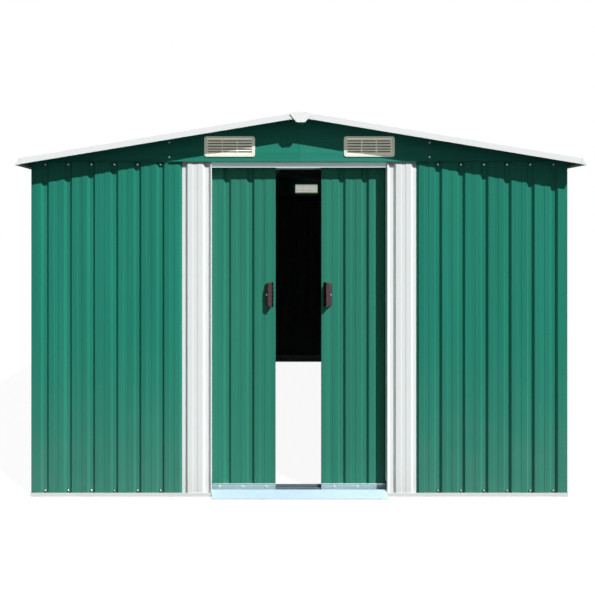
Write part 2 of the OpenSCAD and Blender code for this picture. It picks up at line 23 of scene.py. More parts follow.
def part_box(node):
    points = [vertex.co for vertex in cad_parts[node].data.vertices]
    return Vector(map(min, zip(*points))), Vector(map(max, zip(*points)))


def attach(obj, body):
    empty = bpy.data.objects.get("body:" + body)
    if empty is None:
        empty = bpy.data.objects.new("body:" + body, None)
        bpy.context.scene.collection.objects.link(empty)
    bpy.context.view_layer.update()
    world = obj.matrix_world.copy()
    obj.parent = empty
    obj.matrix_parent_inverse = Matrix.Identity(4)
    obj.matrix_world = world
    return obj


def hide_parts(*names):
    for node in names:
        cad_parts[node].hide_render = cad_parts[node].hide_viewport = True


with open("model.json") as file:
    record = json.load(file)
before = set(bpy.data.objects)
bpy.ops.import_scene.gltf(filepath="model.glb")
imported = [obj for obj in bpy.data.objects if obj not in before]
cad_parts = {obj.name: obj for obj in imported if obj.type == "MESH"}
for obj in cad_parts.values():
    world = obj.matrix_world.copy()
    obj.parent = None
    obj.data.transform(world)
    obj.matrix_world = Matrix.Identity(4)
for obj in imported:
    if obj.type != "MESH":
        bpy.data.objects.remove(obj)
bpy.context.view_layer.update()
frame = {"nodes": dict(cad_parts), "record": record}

LOG = logging.getLogger("shed")
Colour = tuple[float, float, float]
Spot = tuple[float, float, float]

NEAR = 0.0001              # two places this close are the same
SHEET = 0.0006             # thickness of a sheet
LAP_STEP = 0.0009          # how far a lapping sheet lies in front of its neighbour
UNDER_ROOF = 0.0005        # gap between the walls' sheets and the roof
SHARP = math.radians(17)   # folds steeper than this keep a crisp edge
ROUND = math.radians(35)   # the same on turned and moulded pieces
MIRROR = Matrix.Scale(-1, 4, (1, 0, 0))


class Side(Enum):
    """Side of the ridge, seen from in front of the doors."""

    LEFT = -1
    RIGHT = 1

    @property
    def word(self) -> str:
        """Name of the side as the nodes have it."""
        return self.name.lower()


class Pick(Enum):
    """Kind of mesh element that a selection is made of."""

    POINTS = "VERT"
    EDGES = "EDGE"
    FACES = "FACE"


class Run(Enum):
    """Direction in which a sheet was rolled, as a stretch of its pattern."""

    UP = (42.0, 42.0, 0.7)
    DOWN_SLOPE = (0.7, 42.0, 0.7)
    ACROSS = (0.7, 42.0, 42.0)


# ---- Bench: modelling by hand ----


def focus(piece: bpy.types.Object) -> None:
    """Leave edit mode, and make one piece the only selected and active one.

    Args:
        piece: The piece to work on.
    """
    if bpy.context.object is not None and bpy.context.object.mode != "OBJECT":
        bpy.ops.object.mode_set(mode="OBJECT")
    bpy.ops.object.select_all(action="DESELECT")
    piece.select_set(True)
    bpy.context.view_layer.objects.active = piece


@contextmanager
def editing(piece: bpy.types.Object) -> Iterator[bpy.types.Object]:
    """Open a piece for edit-mode operators and close it afterwards.

    Args:
        piece: The piece to edit.

    Yields:
        The piece.
    """
    focus(piece)
    bpy.ops.object.mode_set(mode="EDIT")
    yield piece
    bpy.ops.object.mode_set(mode="OBJECT")


def pick(kind: Pick, wanted: Callable[[Any], bool]) -> None:
    """Select the elements of the mesh in edit mode that pass a test.

    Args:
        kind: Points, edges or faces.
        wanted: Test of one element.
    """
    bpy.ops.mesh.select_mode(type=kind.value)
    bpy.ops.mesh.select_all(action="DESELECT")
    mesh = bpy.context.edit_object.data
    work = bmesh.from_edit_mesh(mesh)
    everything = {Pick.POINTS: work.verts, Pick.EDGES: work.edges, Pick.FACES: work.faces}[kind]
    for element in [element for element in everything if wanted(element)]:
        element.select_set(True)
    work.select_flush_mode()
    bmesh.update_edit_mesh(mesh)


def shift(x: float = 0.0, y: float = 0.0, z: float = 0.0) -> None:
    """Move what is selected."""
    bpy.ops.transform.translate(value=(x, y, z))


def extrude(x: float = 0.0, y: float = 0.0, z: float = 0.0) -> None:
    """Extrude what is selected and move the new part."""
    bpy.ops.mesh.extrude_region_move(TRANSFORM_OT_translate={"value": (x, y, z)})


def cut(place: Spot, normal: Spot, drop: bool = False, close: bool = False) -> None:
    """Cut the mesh in edit mode along a plane.

    Args:
        place: A point of the plane.
        normal: Direction across the plane.
        drop: Remove the side that the normal points to.
        close: Close the cut with a face.
    """
    bpy.ops.mesh.select_all(action="SELECT")
    bpy.ops.mesh.bisect(
        plane_co=place, plane_no=normal, clear_outer=drop, use_fill=close, threshold=NEAR / 10
    )


def bevel(width: float, segments: int) -> None:
    """Round the selected edges."""
    bpy.ops.mesh.bevel(offset=width, segments=segments, affect="EDGES", clamp_overlap=True)


def runs_along(edge: Any, axis: int) -> bool:
    """Tell whether an edge runs along an axis."""
    line = edge.verts[1].co - edge.verts[0].co
    return abs(line[axis]) > 0.99 * line.length


def at_x(edge: Any, x: float) -> bool:
    """Tell whether an edge lies in the plane of an x."""
    return all(abs(point.co.x - x) < NEAR for point in edge.verts)


def modify(piece: bpy.types.Object, kind: str, **settings: Any) -> None:
    """Add a modifier to a piece and apply it.

    Args:
        piece: The piece.
        kind: Type of the modifier.
        **settings: Its settings.
    """
    focus(piece)
    bpy.ops.object.modifier_add(type=kind)
    modifier = piece.modifiers[-1]
    for name, value in settings.items():
        setattr(modifier, name, value)
    bpy.ops.object.modifier_apply(modifier=modifier.name)


def repeat(piece: bpy.types.Object, count: int, step: Spot, merge: bool = False) -> None:
    """Repeat a piece along a line.

    Args:
        piece: The piece.
        count: How many there are in all.
        step: From one to the next.
        merge: Merge the points where two of them meet.
    """
    modify(
        piece,
        "ARRAY",
        count=count,
        use_relative_offset=False,
        use_constant_offset=True,
        constant_offset_displace=step,
        use_merge_vertices=merge,
        merge_threshold=NEAR,
    )


def settle(piece: bpy.types.Object, matrix: Matrix) -> None:
    """Put a piece in its place and bring the place into its mesh.

    Args:
        piece: The piece.
        matrix: Where it goes.
    """
    focus(piece)
    piece.matrix_world = matrix
    bpy.ops.object.transform_apply(location=True, rotation=True, scale=True)


def add_box(name: str, low: Vector, high: Vector) -> bpy.types.Object:
    """Add a box between two corners, as the start of a piece.

    Args:
        name: Name of the piece.
        low: Lowest corner.
        high: Highest corner.

    Returns:
        The box.
    """
    bpy.ops.mesh.primitive_cube_add(size=1, location=(low + high) / 2)
    piece = bpy.context.object
    piece.name = name
    piece.scale = high - low
    settle(piece, piece.matrix_basis.copy())
    return piece


def add_strip(name: str, x0: float, x1: float, z0: float, z1: float) -> bpy.types.Object:
    """Add an upright rectangle that faces -Y, as the start of a sheet.

    Args:
        name: Name of the piece.
        x0: Left edge.
        x1: Right edge.
        z0: Lower edge.
        z1: Upper edge.

    Returns:
        The rectangle.
    """
    middle = ((x0 + x1) / 2, 0, (z0 + z1) / 2)
    bpy.ops.mesh.primitive_plane_add(size=1, location=middle, rotation=(math.pi / 2, 0, 0))
    piece = bpy.context.object
    piece.name = name
    piece.scale = (x1 - x0, z1 - z0, 1)
    settle(piece, piece.matrix_basis.copy())
    return piece


def add_disc(name: str, radius: float, depth: float, sides: int, y: float) -> bpy.types.Object:
    """Add a short cylinder whose axis is Y and whose back is at a depth.

    Args:
        name: Name of the piece.
        radius: Its radius.
        depth: Its length.
        sides: Sides of the cylinder.
        y: Where its back lies.

    Returns:
        The cylinder.
    """
    bpy.ops.mesh.primitive_cylinder_add(
        vertices=sides,
        radius=radius,
        depth=depth,
        location=(0, y - depth / 2, 0),
        rotation=(math.pi / 2, 0, 0),
    )
    piece = bpy.context.object
    piece.name = name
    settle(piece, piece.matrix_basis.copy())
    return piece


def add_head(
    name: str, radius: float, depth: float, sides: int, seat: float, soft: float, steps: int
) -> bpy.types.Object:
    """Add the head of a screw, or a washer, with a soft rim towards -Y.

    Args:
        name: Name of the piece.
        radius: Its radius.
        depth: Its height.
        sides: Its sides.
        seat: Where its back lies.
        soft: Width of the soft rim.
        steps: Faces across the soft rim.

    Returns:
        The head.
    """
    head = add_disc(name, radius, depth, sides, seat)
    rim = seat - 0.85 * depth
    with editing(head):
        pick(Pick.EDGES, lambda edge: all(point.co.y < rim for point in edge.verts))
        bevel(soft, steps)
    return head


def add_rod(name: str, radius: float, length: float, sides: int, start: Spot) -> bpy.types.Object:
    """Add a round rod that runs along X.

    Args:
        name: Name of the piece.
        radius: Its radius.
        length: Its length.
        sides: Its sides.
        start: Middle of its left end.

    Returns:
        The rod.
    """
    rod = add_disc(name, radius, length, sides, 0)
    settle(rod, turn(90, "Z"))
    settle(rod, Matrix.Translation(start))
    return rod


def copy_to(piece: bpy.types.Object, matrix: Matrix) -> bpy.types.Object:
    """Copy a finished piece with a mesh of its own.

    Args:
        piece: The piece to copy.
        matrix: Where the copy goes.

    Returns:
        The copy, with its place in its mesh.
    """
    twin = piece.copy()
    twin.data = piece.data.copy()
    twin.data.transform(matrix)
    bpy.context.scene.collection.objects.link(twin)
    return twin


def join(pieces: list[bpy.types.Object], name: str) -> bpy.types.Object:
    """Join pieces into one.

    Args:
        pieces: What is joined.
        name: Name of the whole.

    Returns:
        The joined piece.
    """
    focus(pieces[0])
    for piece in pieces:
        piece.select_set(True)
    if len(pieces) > 1:
        bpy.ops.object.join()
    pieces[0].name = name
    return pieces[0]


def smooth(piece: bpy.types.Object, angle: float = SHARP) -> None:
    """Shade a piece smoothly, with crisp edges and flat faces that stay flat.

    Args:
        piece: The piece.
        angle: Edges steeper than this stay crisp.
    """
    focus(piece)
    bpy.ops.object.shade_smooth_by_angle(angle=angle)
    modify(piece, "WEIGHTED_NORMAL", keep_sharp=True)


def turn(angle: float, axis: str) -> Matrix:
    """Turn about an axis of the frame, in degrees."""
    return Matrix.Rotation(math.radians(angle), 4, axis)


def dress(piece: bpy.types.Object, *finishes: bpy.types.Material, shown: int = 0) -> None:
    """Give a piece its finishes.

    Args:
        piece: The piece.
        *finishes: Its finishes, the outside first.
        shown: Number of the finish that it shows all over.
    """
    piece.data.materials.clear()
    for finish in finishes:
        piece.data.materials.append(finish)
    for polygon in piece.data.polygons:
        polygon.material_index = shown


def hand_over(piece: bpy.types.Object, body: str, node: str = "") -> bpy.types.Object:
    """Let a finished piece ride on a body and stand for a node.

    Args:
        piece: The finished piece.
        body: Body it rides on.
        node: Node it stands for, or none where it is an addition.

    Returns:
        The piece.
    """
    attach(piece, body)
    if node:
        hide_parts(node)
    return piece


# ---- Plan ----


@dataclass(frozen=True)
class ShedPlan:
    """Main sizes of the shed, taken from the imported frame.

    Attributes:
        half_width: From the middle to the pans of the side walls.
        half_depth: From the middle to the pans of the front wall.
        slope: Fall of the roof for each metre sideways.
        ridge_z: Height of the underside of the roof sheets at the ridge.
        roof_end: Length of a roof sheet's slope, from the ridge to its lower edge.
    """

    half_width: float
    half_depth: float
    slope: float
    ridge_z: float
    roof_end: float

    @classmethod
    def from_frame(cls) -> ShedPlan:
        """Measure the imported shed.

        Returns:
            Its main sizes.
        """
        rail = 0.0012
        lap = 0.020
        cap_low, cap_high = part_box("ridge_cap")
        wings_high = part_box("gable_front_wings")[1]
        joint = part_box("gable_front_right")[1].x - lap
        slope = (cap_high.z - cap_low.z - rail) / cap_high.x
        angle = math.atan(slope)
        top = RoofSheet.TOP + LAP_STEP
        return cls(
            half_width=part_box("right_wall")[1].x - LAP_STEP,
            half_depth=-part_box("front_wall_left")[0].y,
            slope=slope,
            ridge_z=wings_high.z + slope * joint + UNDER_ROOF,
            roof_end=(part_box("roof_right")[1].x - top * math.sin(angle)) / math.cos(angle),
        )

    @property
    def angle(self) -> float:
        """Slope of the roof in degrees."""
        return math.degrees(math.atan(self.slope))

    def front(self) -> Matrix:
        """Place of a piece modelled at the face of the front wall."""
        return Matrix.Translation((0, -self.half_depth, 0))

    def back(self) -> Matrix:
        """Place of a piece modelled at the face of the back wall."""
        return turn(180, "Z") @ self.front()

    def flank(self, side: Side) -> Matrix:
        """Place of a piece modelled at the face of a side wall."""
        return turn(90 * side.value, "Z") @ Matrix.Translation((0, -self.half_width, 0))

    def on_roof(self, side: Side) -> Matrix:
        """Place of a piece modelled upright, laid on a slope with its top at the eave.

        Args:
            side: Which slope.

        Returns:
            The place.
        """
        lay = Matrix(((0, 0, 1, 0), (-1, 0, 0, 0), (0, -1, 0, RoofSheet.TOP), (0, 0, 0, 1)))
        right = Matrix.Translation((0, 0, self.ridge_z)) @ turn(self.angle, "Y") @ lay
        return right if side is Side.RIGHT else turn(180, "Z") @ right


# ---- Finishes ----


@dataclass
class Wiring:
    """Adds and links the nodes of a material or of a node group."""

    tree: bpy.types.NodeTree

    def put(self, socket: bpy.types.NodeSocket, value: Any) -> None:
        """Link or set an input.

        Args:
            socket: The input.
            value: The socket it is linked from, or its value.
        """
        if isinstance(value, bpy.types.NodeSocket):
            self.tree.links.new(value, socket)
        else:
            socket.default_value = value

    def feed(self, node: bpy.types.Node, **sockets: Any) -> bpy.types.Node:
        """Link or set inputs of a node.

        Args:
            node: The node.
            **sockets: Links or values by name, with underscores for spaces.

        Returns:
            The node.
        """
        for name, value in sockets.items():
            self.put(node.inputs[name.replace("_", " ")], value)
        return node

    def add(self, kind: str, sockets: dict[str | int, Any] | None = None, **settings: Any) -> bpy.types.Node:
        """Add a node.

        Args:
            kind: Type of the node.
            sockets: Values or links of its inputs, by name or number.
            **settings: Settings of the node.

        Returns:
            The node.
        """
        node = self.tree.nodes.new(kind)
        for name, value in settings.items():
            setattr(node, name, value)
        for key, value in (sockets or {}).items():
            self.put(node.inputs[key], value)
        return node

    def math(self, operation: str, a: Any, b: Any) -> bpy.types.NodeSocket:
        """Combine two numbers."""
        return self.add("ShaderNodeMath", {0: a, 1: b}, operation=operation).outputs[0]

    def blend(self, factor: Any, a: Any, b: Any) -> bpy.types.NodeSocket:
        """Blend two colours."""
        return self.add("ShaderNodeMix", {0: factor, 6: a, 7: b}, data_type="RGBA").outputs[2]

    def scaled(self, value: Any, low: float, high: float) -> bpy.types.NodeSocket:
        """Map a number from 0 to 1 onto a range."""
        node = self.add("ShaderNodeMapRange", {"Value": value, "To Min": low, "To Max": high})
        return node.outputs["Result"]

    def noise(self, vector: Any, scale: float, detail: float = 2.0) -> bpy.types.NodeSocket:
        """Noise from 0 to 1."""
        node = self.add("ShaderNodeTexNoise", {"Vector": vector, "Scale": scale, "Detail": detail})
        return node.outputs[0]

    def bump(self, height: Any, distance: float, strength: float, **under: Any) -> bpy.types.NodeSocket:
        """Normal of a relief, over the Normal of another one where it is given."""
        node = self.add("ShaderNodeBump", {"Height": height, "Distance": distance, "Strength": strength})
        return self.feed(node, **under).outputs["Normal"]

    def group(self, tree: bpy.types.NodeTree, **sockets: Any) -> bpy.types.Node:
        """Place a node group, with its inputs by name."""
        return self.feed(self.add("ShaderNodeGroup", node_tree=tree), **sockets)


class Effect:
    """Node groups that several finishes share, each built once."""

    @staticmethod
    def _start(
        name: str, numbers: dict[str, float], outputs: tuple[str, ...]
    ) -> tuple[Wiring, bpy.types.Node, bpy.types.Node]:
        """Start a group with a place, numbers going in and numbers coming out.

        Args:
            name: Name of the group.
            numbers: Its numbers going in, with the values they start with.
            outputs: Its numbers coming out.

        Returns:
            Its wiring, its input node and its output node.
        """
        tree = bpy.data.node_groups.new(name, "ShaderNodeTree")
        tree.interface.new_socket(name="Place", in_out="INPUT", socket_type="NodeSocketVector")
        for label, value in numbers.items():
            socket = tree.interface.new_socket(name=label, in_out="INPUT", socket_type="NodeSocketFloat")
            socket.default_value = value
        for label in outputs:
            tree.interface.new_socket(name=label, in_out="OUTPUT", socket_type="NodeSocketFloat")
        wiring = Wiring(tree)
        return wiring, wiring.add("NodeGroupInput"), wiring.add("NodeGroupOutput")

    @classmethod
    @cache
    def dust(cls) -> bpy.types.NodeTree:
        """Uneven patches of a greyer tone that fades out upwards from the ground.

        Returns:
            The group.
        """
        w, start, end = cls._start("dust", {"Height": 0.2, "Amount": 0.3}, ("Mask",))
        up = w.add("ShaderNodeSeparateXYZ", {0: start.outputs["Place"]}).outputs["Z"]
        fall = w.math("DIVIDE", up, start.outputs["Height"])
        fade = w.scaled(fall, 1.0, 0.0)
        cloud = w.noise(start.outputs["Place"], 7.0, 6.0)
        patches = w.math("MULTIPLY", w.math("POWER", fade, 2.0), w.scaled(cloud, 0.3, 1.5))
        w.feed(end, Mask=w.math("MULTIPLY", patches, start.outputs["Amount"]))
        return w.tree

    @classmethod
    @cache
    def rolling(cls) -> bpy.types.NodeTree:
        """Faint streaks left by the rolls, and the slow waves of thin sheet.

        Returns:
            The group.
        """
        w, start, end = cls._start("rolling", {"Along": 1.0}, ("Streak", "Wave"))
        w.tree.interface.new_socket(name="Stretch", in_out="INPUT", socket_type="NodeSocketVector")
        factors = {0: start.outputs["Place"], 1: start.outputs["Stretch"]}
        drawn = w.add("ShaderNodeVectorMath", factors, operation="MULTIPLY").outputs[0]
        fine = w.noise(drawn, start.outputs["Along"], 4.0)
        w.feed(end, Streak=w.scaled(fine, -0.25, 1.25), Wave=w.noise(start.outputs["Place"], 4.5, 1.0))
        return w.tree

    @classmethod
    @cache
    def grain(cls) -> bpy.types.NodeTree:
        """Fine texture of a coating or of moulded plastic.

        Returns:
            The group.
        """
        w, start, end = cls._start("grain", {"Fineness": 600.0}, ("Height", "Mottle"))
        place = start.outputs["Place"]
        w.feed(end, Height=w.noise(place, start.outputs["Fineness"]), Mottle=w.noise(place, 26.0, 5.0))
        return w.tree

    @classmethod
    @cache
    def spangle(cls) -> bpy.types.NodeTree:
        """Crystals of a zinc coating.

        Returns:
            The group.
        """
        w, start, end = cls._start("spangle", {"Fineness": 110.0}, ("Crystal", "Height"))
        fineness = start.outputs["Fineness"]
        cells = w.add("ShaderNodeTexVoronoi", {"Vector": start.outputs["Place"], "Scale": fineness})
        shade = w.add("ShaderNodeSeparateColor", {0: cells.outputs["Color"]})
        w.feed(end, Crystal=shade.outputs[0], Height=cells.outputs["Distance"])
        return w.tree


def shaded(colour: Colour, factor: float) -> tuple[float, float, float, float]:
    """A colour made darker or lighter, with its alpha."""
    return (*(min(1.0, part * factor) for part in colour), 1.0)


def start_material(name: str) -> tuple[bpy.types.Material, Wiring, bpy.types.Node, bpy.types.NodeSocket]:
    """Start a material with a Principled shader and the place on the object.

    Args:
        name: Name of the material.

    Returns:
        The material, its wiring, the shader and the socket of the place.
    """
    material = bpy.data.materials.new(name)
    material.use_nodes = True
    wiring = Wiring(material.node_tree)
    shader = material.node_tree.nodes["Principled BSDF"]
    place = wiring.add("ShaderNodeTexCoord").outputs["Object"]
    return material, wiring, shader, place


@dataclass(frozen=True)
class CoatedSteel:
    """Coil-coated steel sheet.

    Attributes:
        name: Name of the finish.
        colour: Colour of the coating.
        run: Direction in which the sheet was rolled.
        roughness: Middle of its roughness.
        streak: Strength of the rolling streaks.
        dust: Strength of the greyer tone near the ground.
        dust_height: How high the greyer tone reaches.
        gloss: Level of its reflections.
    """

    name: str
    colour: Colour
    run: Run = Run.UP
    roughness: float = 0.42
    streak: float = 0.20
    dust: float = 0.10
    dust_height: float = 0.9
    gloss: float = 0.10

    def material(self) -> bpy.types.Material:
        """Build the finish.

        Returns:
            The material.
        """
        material, w, shader, place = start_material(self.name)
        rolling = w.group(Effect.rolling(), Place=place, Stretch=self.run.value)
        grain = w.group(Effect.grain(), Place=place, Fineness=700.0)
        dust = w.group(Effect.dust(), Place=place, Height=self.dust_height, Amount=self.dust)
        dark, pale = shaded(self.colour, 1 - self.streak), shaded(self.colour, 1 + self.streak)
        paint = w.blend(rolling.outputs["Streak"], dark, pale)
        mottled = w.blend(w.scaled(grain.outputs["Mottle"], 0.0, 0.16), paint, shaded(self.colour, 0.8))
        low_greyed = w.blend(dust.outputs["Mask"], mottled, (0.46, 0.44, 0.38, 1.0))
        rough = w.math(
            "ADD",
            w.scaled(grain.outputs["Mottle"], self.roughness - 0.06, self.roughness + 0.06),
            w.math("MULTIPLY", dust.outputs["Mask"], 0.5),
        )
        waves = w.bump(rolling.outputs["Wave"], 0.0022, 0.35)
        peel = w.bump(grain.outputs["Height"], 0.00006, 0.4, Normal=waves)
        w.feed(shader, Base_Color=low_greyed, Roughness=rough, Normal=peel, Specular_IOR_Level=self.gloss)
        return material


@dataclass(frozen=True)
class BackCoat:
    """Dull coat on the inside of the sheets, also used as painted shade on the inner frame and under the drip
    edges.

    Attributes:
        name: Name of the finish.
        colour: Colour of the coat.
        roughness: Middle of its roughness.
    """

    name: str
    colour: Colour
    roughness: float = 0.82

    def material(self) -> bpy.types.Material:
        """Build the finish.

        Returns:
            The material.
        """
        material, w, shader, place = start_material(self.name)
        grain = w.group(Effect.grain(), Place=place, Fineness=420.0)
        paint = w.blend(grain.outputs["Mottle"], shaded(self.colour, 0.75), shaded(self.colour, 1.25))
        rough = w.scaled(grain.outputs["Mottle"], self.roughness - 0.06, self.roughness + 0.06)
        peel = w.bump(grain.outputs["Height"], 0.0001, 0.4)
        w.feed(shader, Base_Color=paint, Roughness=rough, Normal=peel, Specular_IOR_Level=0.05)
        return material


@dataclass(frozen=True)
class Zinc:
    """Bright galvanised steel with spangle.

    Attributes:
        name: Name of the finish.
        colour: Tint of the metal; on some finishes it also holds a painted reflection or painted shade.
        roughness: Middle of its roughness.
        metal: How far it is a bare metal, from 0 to 1.
        contrast: Strength of the spangle.
    """

    name: str
    colour: Colour
    roughness: float = 0.42
    metal: float = 0.75
    contrast: float = 0.7

    def material(self) -> bpy.types.Material:
        """Build the finish.

        Returns:
            The material.
        """
        material, w, shader, place = start_material(self.name)
        spangle = w.group(Effect.spangle(), Place=place, Fineness=150.0)
        grain = w.group(Effect.grain(), Place=place, Fineness=900.0)
        dust = w.group(Effect.dust(), Place=place, Height=0.05, Amount=0.12)
        crystal = spangle.outputs["Crystal"]
        dark = shaded(self.colour, 1 - 0.1 * self.contrast)
        pale = shaded(self.colour, 1 + 0.06 * self.contrast)
        tint = w.blend(crystal, dark, pale)
        worn = w.blend(w.scaled(grain.outputs["Mottle"], 0.0, 0.22), tint, shaded(self.colour, 0.72))
        low_greyed = w.blend(dust.outputs["Mask"], worn, (0.42, 0.41, 0.37, 1.0))
        spread = 0.07 * self.contrast
        rough = w.scaled(crystal, self.roughness - spread, self.roughness + spread)
        relief = w.bump(spangle.outputs["Height"], 0.0001, 0.3)
        w.feed(shader, Base_Color=low_greyed, Roughness=rough, Normal=relief, Metallic=self.metal)
        return material


@dataclass(frozen=True)
class Moulding:
    """Moulded plastic.

    Attributes:
        name: Name of the finish.
        colour: Colour of the plastic.
        roughness: Middle of its roughness.
        grain: Depth of the moulded texture, in metres.
        gloss: Level of its reflections.
        glow: How far light passes through it, from 0 to 1.
        painted_glow: Strength of a painted glow in the plastic's own colour, light it gives off though it is
            no lamp.
    """

    name: str
    colour: Colour
    roughness: float = 0.5
    grain: float = 0.00008
    gloss: float = 0.3
    glow: float = 0.0
    painted_glow: float = 0.0

    def material(self) -> bpy.types.Material:
        """Build the finish.

        Returns:
            The material.
        """
        material, w, shader, place = start_material(self.name)
        grain = w.group(Effect.grain(), Place=place, Fineness=850.0)
        paint = w.blend(grain.outputs["Mottle"], shaded(self.colour, 0.9), shaded(self.colour, 1.08))
        rough = w.scaled(grain.outputs["Mottle"], self.roughness - 0.08, self.roughness + 0.08)
        relief = w.bump(grain.outputs["Height"], self.grain, 0.6)
        w.feed(shader, Base_Color=paint, Roughness=rough, Normal=relief, Specular_IOR_Level=self.gloss)
        w.feed(shader, Subsurface_Weight=self.glow, Subsurface_Radius=(1.0, 0.9, 0.6), Subsurface_Scale=0.002)
        # Painted light: the plastic glows in its own colour, which lifts it in shade.
        w.feed(shader, Emission_Color=paint, Emission_Strength=self.painted_glow)
        return material


@dataclass
class Finishes:
    """Every finish of the shed, built once."""

    wall: bpy.types.Material
    door: bpy.types.Material
    gable: bpy.types.Material
    gable_pale: bpy.types.Material
    roof: bpy.types.Material
    trim: bpy.types.Material
    fascia: bpy.types.Material
    cap: bpy.types.Material
    header: bpy.types.Material
    inside: bpy.types.Material
    eave_back: bpy.types.Material
    inner_frame: bpy.types.Material
    zinc: bpy.types.Material
    ramp: bpy.types.Material
    foot_rail: bpy.types.Material
    hem: bpy.types.Material
    track: bpy.types.Material
    screw: bpy.types.Material
    washer: bpy.types.Material
    vent: bpy.types.Material
    pull: bpy.types.Material
    pocket: bpy.types.Material
    nylon: bpy.types.Material

    @classmethod
    def mixed(cls) -> Finishes:
        """Mix the finishes.

        Returns:
            All of them.
        """
        green = (0.0185, 0.226, 0.158)
        white = {"streak": 0.015, "gloss": 0.07}
        return cls(
            wall=CoatedSteel("wall_green", green).material(),
            door=CoatedSteel("door_green", (0.029, 0.222, 0.150), dust=0.02).material(),
            gable=CoatedSteel("gable_green", (0.020, 0.236, 0.164), run=Run.ACROSS, dust=0.0).material(),
            gable_pale=CoatedSteel(
                "gable_green_pale", (0.026, 0.256, 0.184), run=Run.ACROSS, dust=0.0
            ).material(),
            roof=CoatedSteel("roof_green", green, run=Run.DOWN_SLOPE, dust=0.0).material(),
            trim=CoatedSteel(
                "white_trim", (0.85, 0.885, 0.875), dust=0.25, dust_height=0.2, **white
            ).material(),
            fascia=CoatedSteel("fascia_white", (0.91, 0.935, 0.92), dust=0.0, **white).material(),
            cap=CoatedSteel("cap_white", (0.97, 0.985, 0.96), dust=0.0, **white).material(),
            # Painted shade: the white header gets a cool cyan tint, the colour it takes in its shade.
            header=Zinc(
                "header_steel", (0.70, 0.95, 0.91), roughness=0.38, metal=0.22, contrast=0.15
            ).material(),
            inside=BackCoat("back_coat", (0.200, 0.215, 0.230)).material(),
            # Partly painted shade: a grey back coat under the drip edges, kept dark for the shade they lie
            # in.
            eave_back=BackCoat("eave_back_coat", (0.42, 0.43, 0.43)).material(),
            # Painted shade: the inner frame's dull coat is near black, standing for the shade inside the
            # shed.
            inner_frame=BackCoat("inner_frame", (0.070, 0.076, 0.082), roughness=0.7).material(),
            # Partly painted reflection: the zinc's bluish tint stands for the sky it mirrors, over galvanised
            # grey.
            zinc=Zinc("galvanised", (0.62, 0.76, 0.80), metal=0.6).material(),
            # Painted reflection: the ramp's blue tint stands for the sky it mirrors, over galvanised grey.
            ramp=Zinc("galvanised_ramp_painted_sky", (0.55, 0.72, 0.84), metal=0.5, contrast=0.3).material(),
            # Painted reflection: the foot rails' cyan tint stands for the sky they mirror, over galvanised
            # grey.
            foot_rail=Zinc("galvanised_foot_rail", (0.66, 0.88, 0.92), metal=0.5, contrast=0.5).material(),
            hem=Zinc("rolled_hem", (0.88, 0.92, 0.95), roughness=0.2, metal=1.0, contrast=0.3).material(),
            # Painted shade: the track's zinc is made dark for its shade in the doorway and the dark inside it
            # mirrors.
            track=Zinc("galvanised_track_painted_shade", (0.31, 0.40, 0.45), roughness=0.36).material(),
            screw=Zinc("screw_zinc", (0.48, 0.60, 0.61), roughness=0.42, metal=0.6).material(),
            washer=Moulding("washer_rubber", (0.02, 0.03, 0.03), roughness=0.7).material(),
            # Painted light: the vents glow a little, so they stay bright in shade.
            vent=Moulding("vent_cream", (0.80, 0.80, 0.70), roughness=0.45, glow=0.4, painted_glow=0.21).material(),
            pull=Moulding(
                "handle_plastic", (0.080, 0.051, 0.059), roughness=0.42, grain=0.00014, gloss=0.14
            ).material(),
            # Painted shade: near black, standing for the shade inside the pulls' mouths.
            pocket=Moulding("handle_pocket", (0.007, 0.006, 0.007), roughness=0.6, gloss=0.08).material(),
            nylon=Moulding("glide_nylon", (0.012, 0.012, 0.012), roughness=0.5).material(),
        )

    def of_slot(self, slot: str) -> bpy.types.Material:
        """The finish that stands for a material slot of the record.

        Args:
            slot: Name of the slot.

        Returns:
            The material.
        """
        return {
            "wall_green": self.wall,
            "door_green": self.door,
            "gable_green": self.gable,
            "roof_green": self.roof,
            "white_trim": self.trim,
            "inner_frame": self.inner_frame,
            "galvanised": self.zinc,
            "vent_cream": self.vent,
            "handle_plastic": self.pull,
            "glide_nylon": self.nylon,
        }[slot]

    def of_node(self, node: str, slot: str) -> bpy.types.Material:
        """The finish of a node, which a few nodes have for themselves.

        Args:
            node: Name of the node.
            slot: Its material slot.

        Returns:
            The material.
        """
        own = {
            "door_ramp": self.ramp,
            "door_track_bottom": self.track,
            "gable_front_right": self.gable_pale,
            "fascia_front": self.fascia,
            "ridge_end_caps": self.cap,
            "ridge_beam": self.gable,
            "door_left_bottom_rail": self.foot_rail,
            "door_right_bottom_rail": self.foot_rail,
        }
        return own.get(node) or self.of_slot(slot)


# ---- Sheets ----


@dataclass(frozen=True)
class Profile:
    """Section of a rolled sheet: grooves between pans, and a shallow swage in each pan.

    Attributes:
        pitch: Spacing of the grooves.
        width: Width of a groove at the face.
        floor: Width of its floor.
        depth: Its depth.
        swage_half: Half width of the swage in the middle of a pan.
        swage_slope: Width of the swage's sloping sides.
        swage_depth: Its depth.
        bend: Size of the bends.
    """

    pitch: float = 0.1066
    width: float = 0.036
    floor: float = 0.016
    depth: float = 0.010
    swage_half: float = 0.0115
    swage_slope: float = 0.003
    swage_depth: float = 0.0012
    bend: float = 0.0012


